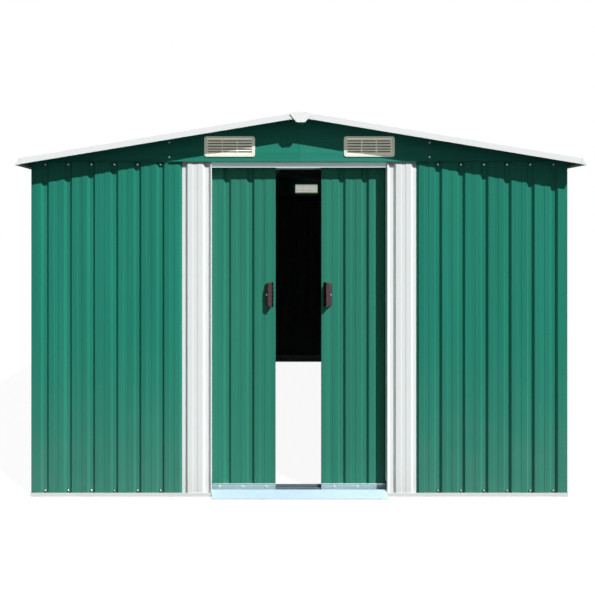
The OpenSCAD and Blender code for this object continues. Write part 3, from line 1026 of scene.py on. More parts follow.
@dataclass
class RolledSheet:
    """One grooved sheet, modelled upright with its outside towards -Y.

    Attributes:
        name: Name of the sheet.
        first: Middle of its first groove from the left.
        count: Number of its grooves.
        x0: Left edge.
        x1: Right edge.
        z0: Lower edge.
        z1: Upper edge.
        out: How far it lies in front of the others.
        fold_left: Depth of the fold at its left edge, or 0.
        fold_right: Depth of the fold at its right edge, or 0.
        profile: Its section.
    """

    name: str
    first: float
    count: int
    x0: float
    x1: float
    z0: float
    z1: float
    out: float = 0.0
    fold_left: float = 0.0
    fold_right: float = 0.0
    profile: Profile = field(default_factory=Profile)

    def build(self) -> bpy.types.Object:
        """Roll the sheet, bring its ends to their places and fold them.

        Returns:
            The sheet as a surface without thickness.
        """
        pitch = self.profile.pitch
        piece = add_strip(self.name, self.first - pitch / 2, self.first + pitch / 2, self.z0, self.z1)
        with editing(piece):
            self._roll_groove()
        repeat(piece, self.count, (pitch, 0, 0), merge=True)
        with editing(piece):
            self._finish_end(self.first - pitch / 2, self.x0, -1, self.fold_left)
            self._finish_end(self.first + (self.count - 0.5) * pitch, self.x1, 1, self.fold_right)
            bpy.ops.mesh.select_all(action="SELECT")
            shift(y=-self.out)
        return piece

    def _roll_groove(self) -> None:
        """Press one groove and the halves of the swages beside it into a strip."""
        p = self.profile
        swage = p.pitch / 2 - p.swage_half
        for line in (p.width / 2, p.floor / 2, swage, swage + p.swage_slope):
            for side in (-1, 1):
                cut((self.first + side * line, 0, 0), (1, 0, 0))
        pick(Pick.FACES, lambda face: abs(face.calc_center_median().x - self.first) < p.floor / 2)
        shift(y=p.depth)
        pick(Pick.FACES, lambda face: abs(face.calc_center_median().x - self.first) > swage + p.swage_slope)
        shift(y=p.swage_depth)
        folds = [self.first + side * line / 2 for side in (-1, 1) for line in (p.width, p.floor)]
        pick(Pick.EDGES, lambda edge: any(at_x(edge, x) for x in folds))
        bevel(p.bend, 3)

    def _finish_end(self, start: float, end: float, side: int, fold: float) -> None:
        """Cut or lengthen one end of the strip and fold it.

        Args:
            start: Where the strip ends now, in the middle of a pan.
            end: Where it has to end.
            side: -1 at the left end, 1 at the right end.
            fold: Depth of the fold there, or 0.
        """
        p = self.profile
        reach = (end - start) * side
        if reach < 0:
            cut((end, 0, 0), (side, 0, 0), drop=True)
        elif reach > p.swage_half:
            pick(Pick.EDGES, lambda edge: at_x(edge, start))
            extrude(x=end - start)
            for line in (p.swage_half - p.swage_slope, p.swage_half):
                cut((start + side * line, 0, 0), (1, 0, 0))
            pick(Pick.POINTS, lambda point: (point.co.x - start) * side > p.swage_half - NEAR)
            shift(y=-p.swage_depth)
        else:
            inner = start - side * p.swage_half
            pick(Pick.POINTS, lambda point: (point.co.x - inner) * side > NEAR)
            shift(y=-p.swage_depth)
            pick(Pick.POINTS, lambda point: abs(point.co.x - start) < NEAR)
            shift(x=end - start)
        if fold:
            pick(Pick.EDGES, lambda edge: at_x(edge, end))
            extrude(y=fold)
            pick(Pick.EDGES, lambda edge: at_x(edge, end) and all(point.co.y < NEAR for point in edge.verts))
            bevel(p.bend, 3)


def thicken(
    piece: bpy.types.Object, outside: bpy.types.Material, inside: bpy.types.Material, thickness: float = SHEET
) -> None:
    """Give a sheet its thickness towards the inside, its back coat and its shading.

    Args:
        piece: The sheet as a surface.
        outside: Finish of the outside.
        inside: Finish of the inside.
        thickness: Thickness of the sheet.
    """
    dress(piece, outside, inside)
    modify(piece, "SOLIDIFY", thickness=thickness, offset=-1.0, use_even_offset=True, material_offset=1)
    smooth(piece)


@dataclass(frozen=True)
class WallPlan:
    """How a wall or slope is divided into lapped sheets.

    Attributes:
        length: Length of the wall.
        inset: How far the outer sheets stop short of its ends.
        panels: Number of sheets.
        turned: The wall is counted from its other end.
        edge: Least distance from an end to the first groove.
        lap: How far one sheet laps over the next.
    """

    length: float
    inset: float
    panels: int = 4
    turned: bool = False
    edge: float = 0.0624
    lap: float = 0.026

    def grooves(self) -> list[float]:
        """Middles of the wall's grooves."""
        last = math.floor((self.length - 2 * self.edge) / Profile.pitch + 0.001)
        return [(i - last / 2) * Profile.pitch for i in range(last + 1)]

    def sheets(self, name: str, z0: float, z1: float, fold: float) -> list[RolledSheet]:
        """Divide the wall into sheets.

        Args:
            name: Name of the wall.
            z0: Lower edge.
            z1: Upper edge.
            fold: Depth of the folds at the wall's ends, or 0.

        Returns:
            The sheets from left to right.
        """
        pitch = Profile.pitch
        grooves = self.grooves()
        marks = [math.floor(len(grooves) * i / self.panels + 0.5) for i in range(self.panels + 1)]
        made = []
        for i in range(self.panels):
            first, last = grooves[marks[i]], grooves[marks[i + 1] - 1]
            x0 = first - pitch / 2 - self.lap / 2 if i else self.inset - self.length / 2
            x1 = last + pitch / 2 + self.lap / 2 if i < self.panels - 1 else self.length / 2 - self.inset
            if self.turned:
                first, x0, x1 = -last, -x1, -x0
            at_left = (i == self.panels - 1) if self.turned else (i == 0)
            at_right = (i == 0) if self.turned else (i == self.panels - 1)
            made.append(
                RolledSheet(
                    f"{name}_{i}",
                    first,
                    marks[i + 1] - marks[i],
                    x0,
                    x1,
                    z0,
                    z1,
                    out=LAP_STEP * (i % 2),
                    fold_left=fold if at_left else 0.0,
                    fold_right=fold if at_right else 0.0,
                )
            )
        return made


def trim_to_roof(piece: bpy.types.Object, plan: ShedPlan, close: bool = False) -> None:
    """Cut a piece along both slopes of the roof.

    Args:
        piece: The piece.
        plan: Main sizes of the shed.
        close: The piece is solid, and stays closed.
    """
    with editing(piece):
        for side in Side:
            top = (0, 0, plan.ridge_z - UNDER_ROOF)
            cut(top, (side.value * plan.slope, 0, 1), drop=True, close=close)


@dataclass
class Walls:
    """The grooved walls and the white trims beside the doorway.

    Attributes:
        plan: Main sizes of the shed.
        finishes: Finishes of the shed.
        corner_return: Depth of the folds at the corners.
        corner_inset: How far the back wall stops short of the side walls' faces.
        trim_edge: How far a trim passes the middle of the groove it shares with the green sheet.
        lapped_edge: How far the green sheet passes it under the trim.
        trim_return: Depth of the trims' folds behind their edges.
    """

    plan: ShedPlan
    finishes: Finishes
    corner_return: float = 0.045
    corner_inset: float = 0.0009
    trim_edge: float = 0.0075
    lapped_edge: float = 0.004
    trim_return: float = 0.0115

    def build(self) -> list[bpy.types.Object]:
        """Build all walls.

        Returns:
            The finished pieces.
        """
        made = []
        for side in Side:
            made += [self._front_wall(side), self._trim(side), self._flank(side)]
        made.append(self._back_wall())
        return made

    def groove(self, number: int) -> float:
        """Distance of a groove of the front wall from the middle, counted from the corner."""
        return self.plan.half_width - WallPlan.edge - number * Profile.pitch

    def green_grooves(self) -> int:
        """Number of grooves in a green front sheet beside its trim."""
        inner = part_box("front_wall_right")[0].x
        return math.floor((self.groove(0) - Profile.width / 2 - inner + NEAR) / Profile.pitch) + 1

    def _front_wall(self, side: Side) -> bpy.types.Object:
        """Build one green front sheet with its folded corner and the groove that its trim laps.

        Args:
            side: Side of the doorway.

        Returns:
            The finished sheet.
        """
        low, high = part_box(f"front_wall_{side.word}")
        at_right = side is Side.RIGHT
        shared = self.green_grooves()
        inner = self.groove(shared) - self.lapped_edge
        sheet = RolledSheet(
            f"front_sheet_{side.word}",
            self.groove(shared) if at_right else -self.groove(0),
            shared + 1,
            inner if at_right else low.x,
            high.x if at_right else -inner,
            low.z,
            high.z,
            fold_left=0.0 if at_right else self.corner_return,
            fold_right=self.corner_return if at_right else 0.0,
        )
        piece = sheet.build()
        trim_to_roof(piece, self.plan)
        return self._finish(piece, self.plan.front(), f"front_wall_{side.word}")

    def _trim(self, side: Side) -> bpy.types.Object:
        """Build one white trim with the fold that lines the doorway.

        Args:
            side: Side of the doorway.

        Returns:
            The finished trim.
        """
        low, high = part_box(f"door_trim_{side.word}")
        jamb_low, jamb_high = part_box("door_jambs")
        at_right = side is Side.RIGHT
        shared = self.green_grooves()
        centres = sorted(side.value * self.groove(number) for number in (shared, shared + 1))
        outer = self.groove(shared) + self.trim_edge
        sheet = RolledSheet(
            f"white_trim_{side.word}",
            centres[0],
            len(centres),
            low.x if at_right else -outer,
            outer if at_right else high.x,
            low.z,
            high.z,
            out=max(0.0, -(self.plan.half_depth + low.y)),
            fold_left=self.trim_return if at_right else 0.0,
            fold_right=0.0 if at_right else self.trim_return,
        )
        piece = sheet.build()
        jamb = low.x if at_right else high.x
        with editing(piece):
            for height in (jamb_low.z, jamb_high.z):
                cut((0, 0, height), (0, 0, 1))
            fold_end = self.trim_return - sheet.out
            pick(
                Pick.EDGES,
                lambda edge: at_x(edge, jamb)
                and all(abs(point.co.y - fold_end) < NEAR for point in edge.verts)
                and jamb_low.z < (edge.verts[0].co.z + edge.verts[1].co.z) / 2 < jamb_high.z,
            )
            extrude(y=jamb_high.y + self.plan.half_depth - fold_end)
        settle(piece, self.plan.front())
        thicken(piece, self.finishes.trim, self.finishes.inside)
        return hand_over(piece, "shed", f"door_trim_{side.word}")

    def _flank(self, side: Side) -> bpy.types.Object:
        """Build one side wall of lapped sheets.

        Args:
            side: Which side wall.

        Returns:
            The finished wall.
        """
        node = f"{side.word}_wall"
        low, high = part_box(node)
        wall = WallPlan(2 * self.plan.half_depth, self.plan.half_depth - high.y, turned=side is Side.LEFT)
        sheets = [sheet.build() for sheet in wall.sheets(node, low.z, high.z, 0.0)]
        return self._finish(join(sheets, f"side_sheets_{side.word}"), self.plan.flank(side), node)

    def _back_wall(self) -> bpy.types.Object:
        """Build the back wall of lapped sheets with its folded corners.

        Returns:
            The finished wall.
        """
        low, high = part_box("back_wall")
        wall = WallPlan(2 * self.plan.half_width, self.corner_inset)
        sheets = [sheet.build() for sheet in wall.sheets("back_wall", low.z, high.z, self.corner_return)]
        for sheet in sheets:
            trim_to_roof(sheet, self.plan)
        return self._finish(join(sheets, "back_sheets"), self.plan.back(), "back_wall")

    def _finish(self, piece: bpy.types.Object, place: Matrix, node: str) -> bpy.types.Object:
        """Put a green wall in its place and finish it.

        Args:
            piece: The wall's sheets as a surface.
            place: Where they go.
            node: Node they stand for.

        Returns:
            The finished wall.
        """
        settle(piece, place)
        thicken(piece, self.finishes.wall, self.finishes.inside)
        return hand_over(piece, "shed", node)


@dataclass
class RoofSheet:
    """The grooved sheets of one slope.

    Attributes:
        plan: Main sizes of the shed.
        finishes: Finishes of the shed.
        side: Which slope.
        TOP: Height of the pans over the underside of the roof.
    """

    plan: ShedPlan
    finishes: Finishes
    side: Side

    TOP = 0.0106

    def build(self) -> bpy.types.Object:
        """Build the slope.

        Returns:
            The finished piece.
        """
        node = f"roof_{self.side.word}"
        low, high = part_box(node)
        start = abs(low.x if self.side is Side.RIGHT else high.x) / math.cos(math.radians(self.plan.angle))
        wall = self.layout()
        pieces = [sheet.build() for sheet in wall.sheets(node, start, self.plan.roof_end, 0.0)]
        piece = join(pieces, f"roof_sheets_{self.side.word}")
        settle(piece, self.plan.on_roof(self.side))
        thicken(piece, self.finishes.roof, self.finishes.inside)
        return hand_over(piece, "shed", node)

    def layout(self) -> WallPlan:
        """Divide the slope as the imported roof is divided.

        Returns:
            How its sheets lie.
        """
        roof_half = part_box("ridge_end_caps")[1].y
        sheets_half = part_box("roof_right")[1].y
        return WallPlan(2 * roof_half, roof_half - sheets_half, turned=self.side is Side.RIGHT)


@dataclass
class Door:
    """One sliding door: its grooved sheet and its cup pull.

    Attributes:
        finishes: Finishes of the shed.
        side: Which door.
        groove_edge: From the left edge to the middle of the first groove.
        grooves: Number of grooves.
        profile: Section of its sheet.
    """

    finishes: Finishes
    side: Side
    groove_edge: float = 0.0955
    grooves: int = 3
    profile: Profile = field(default_factory=lambda: Profile(pitch=0.109))

    @property
    def body(self) -> str:
        """Name of the body that the door is."""
        return f"door_{self.side.word}"

    def build(self) -> list[bpy.types.Object]:
        """Build the door.

        Returns:
            The finished pieces.
        """
        return [self._sheet(), self._pull()]

    def _sheet(self) -> bpy.types.Object:
        """Build the grooved sheet with its folded edges.

        Returns:
            The finished sheet.
        """
        low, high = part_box(f"{self.body}_sheet")
        fold = self.profile.depth + SHEET
        sheet = RolledSheet(
            f"{self.body}_panel",
            low.x + self.groove_edge,
            self.grooves,
            low.x,
            high.x,
            low.z,
            high.z,
            fold_left=fold,
            fold_right=fold,
            profile=self.profile,
        )
        piece = sheet.build()
        settle(piece, Matrix.Translation((0, low.y, 0)))
        thicken(piece, self.finishes.door, self.finishes.inside)
        return hand_over(piece, self.body, f"{self.body}_sheet")

    def _pull(self) -> bpy.types.Object:
        """Build the cup pull, open towards the other door.

        Returns:
            The finished pull.
        """
        node = f"{self.body}_handle"
        low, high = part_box(node)
        middle = (low.z + high.z) / 2
        finishes = (self.finishes.pull, self.finishes.pocket, self.finishes.screw)
        piece = CupPull(high - low, finishes).build(f"{self.body}_pull")
        if self.side is Side.LEFT:
            settle(piece, Matrix.Translation((high.x, high.y, middle)) @ MIRROR)
            with editing(piece):
                bpy.ops.mesh.select_all(action="SELECT")
                bpy.ops.mesh.normals_make_consistent(inside=False)
        else:
            settle(piece, Matrix.Translation((low.x, high.y, middle)))
        smooth(piece, ROUND)
        return hand_over(piece, self.body, node)


@dataclass
class CupPull:
    """Cup pull with its back at y 0, its mouth towards -X and its middle at height 0.

    Attributes:
        size: Width, depth and height.
        finishes: Plastic, near-black painted shade for the pocket, and screw.
        base: Thickness of the base plate.
        mouth: How far the cup stops short of the base plate's edge.
        lean: Width of the sloping outer side.
        corner: Radius of the outer corners.
        wall: Thickness of the cup.
        webs: Number of ribs inside.
        web: Thickness of a rib.
        web_foot: From the base plate's edge to the foot of the ribs.
        screw: Radius and height of the screw's head.
    """

    size: Vector
    finishes: tuple[bpy.types.Material, ...]
    base: float = 0.0024
    mouth: float = 0.0095
    lean: float = 0.013
    corner: float = 0.017
    wall: float = 0.003
    webs: int = 5
    web: float = 0.0020
    web_foot: float = 0.0015
    screw: float = 0.0030

    def build(self, name: str) -> bpy.types.Object:
        """Build the pull.

        Args:
            name: Name of the piece.

        Returns:
            The pull, not yet in its place.
        """
        return join([self._cup(name), self._plate(), *self._ribs(), self._screw()], name)

    def _plate(self) -> bpy.types.Object:
        """Base plate with two round corners and a soft rim.

        Returns:
            The plate.
        """
        half = self.size.z / 2
        plate = add_box("plate", Vector((0, -self.base, -half)), Vector((self.size.x, 0, half)))
        with editing(plate):
            pick(Pick.EDGES, lambda edge: runs_along(edge, 1) and at_x(edge, self.size.x))
            bevel(self.corner, 5)
            pick(Pick.EDGES, lambda edge: all(point.co.y < -self.base / 2 for point in edge.verts))
            bevel(0.0007, 2)
        # Painted shade: the whole plate takes the near-black finish that stands for the shade in the mouth.
        dress(plate, *self.finishes, shown=1)
        return plate

    def _cup(self, name: str) -> bpy.types.Object:
        """Cup with a sloping outer side, round corners and a deep mouth.

        Args:
            name: Name of the piece.

        Returns:
            The cup.
        """
        half = self.size.z / 2
        face = -self.size.y
        cup = add_box(name, Vector((self.mouth, face, -half)), Vector((self.size.x, -self.base / 2, half)))
        with editing(cup):
            pick(Pick.POINTS, lambda p: p.co.x > self.size.x - NEAR and p.co.y < face + NEAR)
            shift(x=-self.lean)
            pick(
                Pick.EDGES,
                lambda e: all(p.co.x > self.size.x / 2 for p in e.verts)
                and abs(e.verts[0].co.y - e.verts[1].co.y) > self.size.y / 2,
            )
            bevel(self.corner * 0.9, 5)
            pick(Pick.FACES, lambda f: f.normal.x < -0.9)
            bpy.ops.mesh.inset(thickness=self.wall, depth=0)
            extrude(x=self.size.x - self.lean - self.mouth - 2 * self.wall)
            pick(Pick.EDGES, lambda e: all(p.co.y < face + NEAR for p in e.verts))
            bevel(0.0016, 3)
        dress(cup, *self.finishes)
        # Painted shade: the faces inside the mouth take the near-black finish.
        for polygon in cup.data.polygons:
            x, y, z = polygon.center
            inner = abs(z) < half - self.wall + NEAR and y > face + self.wall - NEAR
            if inner and self.mouth + NEAR < x < self.size.x - self.lean - self.wall / 2:
                polygon.material_index = 1
        return cup

    def _ribs(self) -> list[bpy.types.Object]:
        """Ribs across the inside of the mouth, with slanted outer edges.

        Returns:
            The ribs from the lowest up.
        """
        step = self.size.z / (self.webs + 1)
        deep = self.wall / 2 - self.size.y
        end = self.size.x - self.lean - self.wall
        ribs = []
        for i in range(self.webs):
            z = (i - (self.webs - 1) / 2) * step
            low = Vector((self.web_foot, deep, z - self.web / 2))
            rib = add_box("rib", low, Vector((end, -self.base, z + self.web / 2)))
            with editing(rib):
                pick(
                    Pick.EDGES,
                    lambda e: at_x(e, self.web_foot) and all(p.co.y < deep + NEAR for p in e.verts),
                )
                shift(x=self.mouth)
                pick(
                    Pick.EDGES,
                    lambda e: runs_along(e, 2) and all(p.co.x < self.size.x / 3 for p in e.verts),
                )
                bevel(0.0008, 2)
            dress(rib, *self.finishes)
            ribs.append(rib)
        return ribs

    def _screw(self) -> bpy.types.Object:
        """Round-headed screw in the sloping side.

        Returns:
            The screw.
        """
        head = add_head("head", self.screw, self.screw, 16, -self.size.y * 0.62, 0.0010, 3)
        settle(head, Matrix.Translation((self.size.x - self.lean * 0.55, 0, 0)))
        dress(head, *self.finishes, shown=2)
        return head


# ---- Vents ----


@dataclass
class Vent:
    """Louvred vent with the back of its flange at y 0, facing -Y.

    Attributes:
        width: Width of the flange.
        height: Height of the flange.
        margin_x: Width of the flange beside the opening.
        margin_z: Width of the flange above and below it.
        flange: Thickness of the flange.
        depth: How far the collar reaches in.
        corner: Radius of the flange's corners.
        louvres: Number of slats.
        columns: Number of openings side by side.
        slat: Half width and half thickness of a slat.
        slat_lean: Slope of the slats in degrees.
        slat_set: How far the slats stand behind the gable and over the middle of their pitch.
        mullion: Half width of the uprights.
    """

    width: float
    height: float
    margin_x: float = 0.015
    margin_z: float = 0.0095
    flange: float = 0.0035
    depth: float = 0.0135
    corner: float = 0.011
    louvres: int = 6
    columns: int = 3
    slat: tuple[float, float] = (0.0054, 0.0008)
    slat_lean: float = 40.0
    slat_set: float = 0.0016
    mullion: float = 0.0017

    def build(self) -> bpy.types.Object:
        """Build the vent.

        Returns:
            The vent, not yet in its place.
        """
        piece = join([self._flange(), self._collar(), self._sill(), *self._mullions(), self._slats()], "vent")
        smooth(piece, ROUND)
        return piece

    @property
    def opening(self) -> tuple[float, float]:
        """Half width and half height of the opening."""
        return self.width / 2 - self.margin_x, self.height / 2 - self.margin_z

    def _ring(self, name: str, half_x: float, half_z: float, front: float, back: float) -> bpy.types.Object:
        """Box with the vent's opening cut through it.

        Args:
            name: Name of the piece.
            half_x: Half its width.
            half_z: Half its height.
            front: Where its front lies.
            back: Where its back lies.

        Returns:
            The box.
        """
        ring = add_box(name, Vector((-half_x, front, -half_z)), Vector((half_x, back, half_z)))
        open_x, open_z = self.opening
        margin = min(half_x - open_x, half_z - open_z)
        with editing(ring):
            pick(Pick.FACES, lambda f: abs(f.normal.y) > 0.9)
            bpy.ops.mesh.inset(thickness=margin, depth=0)
            bpy.ops.transform.resize(value=(open_x / (half_x - margin), 1, open_z / (half_z - margin)))
            bpy.ops.mesh.bridge_edge_loops()
        return ring

    def _flange(self) -> bpy.types.Object:
        """Flange with round corners and soft rims.

        Returns:
            The flange.
        """
        half_x, half_z = self.width / 2, self.height / 2
        flange = self._ring("vent_flange", half_x, half_z, -self.flange, 0)
        with editing(flange):
            pick(Pick.EDGES, lambda e: runs_along(e, 1) and (at_x(e, half_x) or at_x(e, -half_x)))
            bevel(self.corner, 5)
            pick(
                Pick.EDGES,
                lambda e: all(p.co.y < -self.flange + NEAR for p in e.verts)
                and any(f.normal.y > -0.9 for f in e.link_faces),
            )
            bevel(0.0011, 2)
        return flange

    def _collar(self) -> bpy.types.Object:
        """Collar that passes through the gable.

        Returns:
            The collar.
        """
        open_x, open_z = self.opening
        wall = 0.0015
        return self._ring("vent_collar", open_x + wall, open_z + wall, -0.001, self.depth)

    def _sill(self) -> bpy.types.Object:
        """Rounded sill along the foot of the opening.

        Returns:
            The sill.
        """
        open_x, open_z = self.opening
        sill = add_box("sill", Vector((-open_x, -0.0022, -open_z)), Vector((open_x, 0.006, 0.0055 - open_z)))
        with editing(sill):
            pick(Pick.EDGES, lambda e: runs_along(e, 0) and e.verts[0].co.z > 0.005 - open_z)
            bevel(0.0015, 3)
        return sill

    def _mullions(self) -> list[bpy.types.Object]:
        """Uprights between the columns of slats.

        Returns:
            The uprights from left to right.
        """
        open_x, open_z = self.opening
        made = []
        for i in range(1, self.columns):
            x = -open_x + 2 * open_x * i / self.columns
            low = Vector((x - self.mullion, -self.flange + 0.0004, -open_z))
            bar = add_box("mullion", low, Vector((x + self.mullion, 0.009, open_z)))
            with editing(bar):
                pick(Pick.EDGES, lambda e: runs_along(e, 2) and e.verts[0].co.y < 0)
                bevel(0.0007, 2)
            made.append(bar)
        return made

    def _slats(self) -> bpy.types.Object:
        """Sloping slats, the outer edge of each lower than the inner one.

        Returns:
            All slats.
        """
        open_x, open_z = self.opening
        pitch = 2 * open_z / self.louvres
        reach, thick = self.slat
        slat = add_box("slat", Vector((-open_x, -thick, -reach)), Vector((open_x, thick, reach)))
        with editing(slat):
            pick(Pick.EDGES, lambda e: runs_along(e, 0))
            bevel(0.0005, 2)
        lowest = Matrix.Translation((0, self.slat_set, pitch / 2 + self.slat_set - open_z))
        settle(slat, lowest @ turn(-self.slat_lean, "X"))
        repeat(slat, self.louvres, (0, 0, pitch))
        return slat


@dataclass
class Vents:
    """The four vents in the gables."""

    finishes: Finishes

    def build(self) -> list[bpy.types.Object]:
        """Build one vent and copy it to each gable.

        Returns:
            The finished pieces.
        """
        low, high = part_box("vent_front_right")
        model = Vent(high.x - low.x, high.z - low.z).build()
        dress(model, self.finishes.vent)
        made = []
        for end in ("front", "back"):
            for side in Side:
                node = f"vent_{end}_{side.word}"
                low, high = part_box(node)
                middle = (low + high) / 2
                if end == "front":
                    place = Matrix.Translation((middle.x, low.y + Vent.flange, middle.z))
                else:
                    place = Matrix.Translation((middle.x, high.y - Vent.flange, middle.z)) @ turn(180, "Z")
                piece = copy_to(model, place)
                piece.name = f"louvred_{node}"
                made.append(hand_over(piece, "shed", node))
        bpy.data.objects.remove(model)
        return made


# ---- Screws ----


@dataclass
class Screws:
    """Screws in rows: hexagon heads with rubber washers on the shed, round heads on its doors.

    Attributes:
        plan: Main sizes of the shed.
        finishes: Finishes of the shed.
        walls: The walls, for the places of their grooves.
        top_z: Height of the upper rows.
        foot_z: Height of the lower rows.
        flank_drop: How much lower the upper rows lie on the side walls.
        seam_shares: Heights of the screws in the seams, as shares of the upper row's.
        gable_x: From the middle to the gables' joints.
        gable_zs: Heights of the screws in them.
        purlin_xs: From the middle to the purlins.
        ridge_gap: From the ridge to the first row on a slope, along it.
        eave_gap: From the lower edge of a slope to its last row.
        door_first: From a door's edge to its first screw.
        door_pitch: Spacing of its screws.
        door_count: Number of its screws.
        door_rise: Height of its screws over the foot of its rail.
    """

    plan: ShedPlan
    finishes: Finishes
    walls: Walls
    top_z: float = 1.529
    foot_z: float = 0.0245
    flank_drop: float = 0.012
    seam_shares: tuple[float, ...] = (0.33, 0.66)
    gable_x: float = 0.598
    gable_zs: tuple[float, ...] = (1.562, 1.629)
    purlin_xs: tuple[float, ...] = (0.48, 0.9)
    ridge_gap: float = 0.075
    eave_gap: float = 0.045
    door_first: float = 0.060
    door_pitch: float = 0.109
    door_count: int = 4
    door_rise: float = 0.014

    def build(self) -> list[bpy.types.Object]:
        """Model one screw of each kind and copy them to their places.

        Returns:
            The joined screws of each body.
        """
        rows = [*self._front_places(), *self._flank_places(), *self._back_places()]
        rows += [*self._gable_places(), *self._roof_places()]
        hexagon, button = self._hexagon(), self._button()
        made = [self._joined(hexagon, rows, "screws", "shed")]
        for side in Side:
            door = f"door_{side.word}"
            made.append(self._joined(button, self._door_places(door), f"{door}_screws", door))
        for model in (hexagon, button):
            bpy.data.objects.remove(model)
        return made

    def _button(self) -> bpy.types.Object:
        """One bright round-headed screw with its seat at y 0.

        Returns:
            The screw.
        """
        head = add_head("button", 0.0048, 0.0020, 14, 0.0002, 0.0012, 3)
        dress(head, self.finishes.trim)
        return head

    def _hexagon(self) -> bpy.types.Object:
        """One hexagon-headed screw with its seat at y 0, its head towards -Y.

        Returns:
            The screw.
        """
        washer = add_head("washer", 0.0062, 0.0014, 16, 0.0004, 0.0005, 1)
        dress(washer, self.finishes.screw, self.finishes.washer, shown=1)
        head = add_head("head", 0.0046, 0.0036, 6, -0.0008, 0.0006, 1)
        dress(head, self.finishes.screw, self.finishes.washer)
        return join([head, washer], "screw")

    def _joined(
        self, model: bpy.types.Object, places: list[Matrix], name: str, body: str
    ) -> bpy.types.Object:
        """Copy a screw to its places and join the copies.

        Args:
            model: The screw.
            places: Where the copies go.
            name: Name of the joined screws.
            body: Body they ride on.

        Returns:
            The joined screws.
        """
        piece = join([copy_to(model, place) for place in places], name)
        focus(piece)
        bpy.ops.object.shade_smooth_by_angle(angle=ROUND)
        return hand_over(piece, body)

    def _front_places(self) -> list[Matrix]:
        """Top and foot of each green groove beside the doorway.

        Returns:
            The places.
        """
        grooves = range(self.walls.green_grooves())
        xs = [side.value * self.walls.groove(i) for side in Side for i in grooves]
        rows = [(x, Profile.depth, z) for x in xs for z in (self.top_z, self.foot_z)]
        return [self.plan.front() @ Matrix.Translation(row) for row in rows]

    def _wall_rows(self, wall: WallPlan, place: Matrix, top: float) -> list[Matrix]:
        """Top and foot of each groove of a lapped wall, and its seams.

        Args:
            wall: How the wall is divided.
            place: Place of a piece modelled at its face.
            top: Height of the upper row.

        Returns:
            The places.
        """
        floor = Profile.depth - LAP_STEP
        rows = [(x, floor, z) for x in wall.grooves() for z in (top, self.foot_z)]
        seams = sorted(sheet.x1 - wall.lap / 2 for sheet in wall.sheets("", 0, 1, 0))[:-1]
        swage = Profile.swage_depth - LAP_STEP
        rows += [(x, swage, top * share) for x in seams for share in self.seam_shares]
        return [place @ Matrix.Translation(row) for row in rows]

    def _flank_places(self) -> list[Matrix]:
        """Rows on the side walls.

        Returns:
            The places.
        """
        wall = WallPlan(2 * self.plan.half_depth, 0)
        top = self.top_z - self.flank_drop
        return [spot for side in Side for spot in self._wall_rows(wall, self.plan.flank(side), top)]

    def _back_places(self) -> list[Matrix]:
        """Rows on the back wall."""
        return self._wall_rows(WallPlan(2 * self.plan.half_width, 0), self.plan.back(), self.top_z)

    def _gable_places(self) -> list[Matrix]:
        """Pairs at the lapped joints of the gables.

        Returns:
            The places.
        """
        wing_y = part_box("gable_front_wings")[1].y - SHEET
        made = []
        for side in Side:
            for z in self.gable_zs:
                spot = Matrix.Translation((side.value * self.gable_x, wing_y, z))
                made += [spot, turn(180, "Z") @ spot]
        return made

    def _roof_places(self) -> list[Matrix]:
        """Rows over the purlins and along the edges, in every other pan.

        Returns:
            The places.
        """
        cos = math.cos(math.radians(self.plan.angle))
        rows = [self.ridge_gap, *(x / cos for x in self.purlin_xs), self.plan.roof_end - self.eave_gap]
        made = []
        for side in Side:
            grooves = RoofSheet(self.plan, self.finishes, side).layout().grooves()
            swage = Profile.swage_depth - LAP_STEP
            spots = [(x + Profile.pitch / 2, swage, z) for x in grooves[:-1:2] for z in rows]
            made += [self.plan.on_roof(side) @ Matrix.Translation(spot) for spot in spots]
        return made

    def _door_places(self, door: str) -> list[Matrix]:
        """Row along the rail at the foot of a door.

        Args:
            door: Name of the door's body.

        Returns:
            The places.
        """
        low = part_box(f"{door}_bottom_rail")[0]
        xs = [low.x + self.door_first + i * self.door_pitch for i in range(self.door_count)]
        return [Matrix.Translation((x, low.y, low.z + self.door_rise)) for x in xs]


# ---- Trims ----


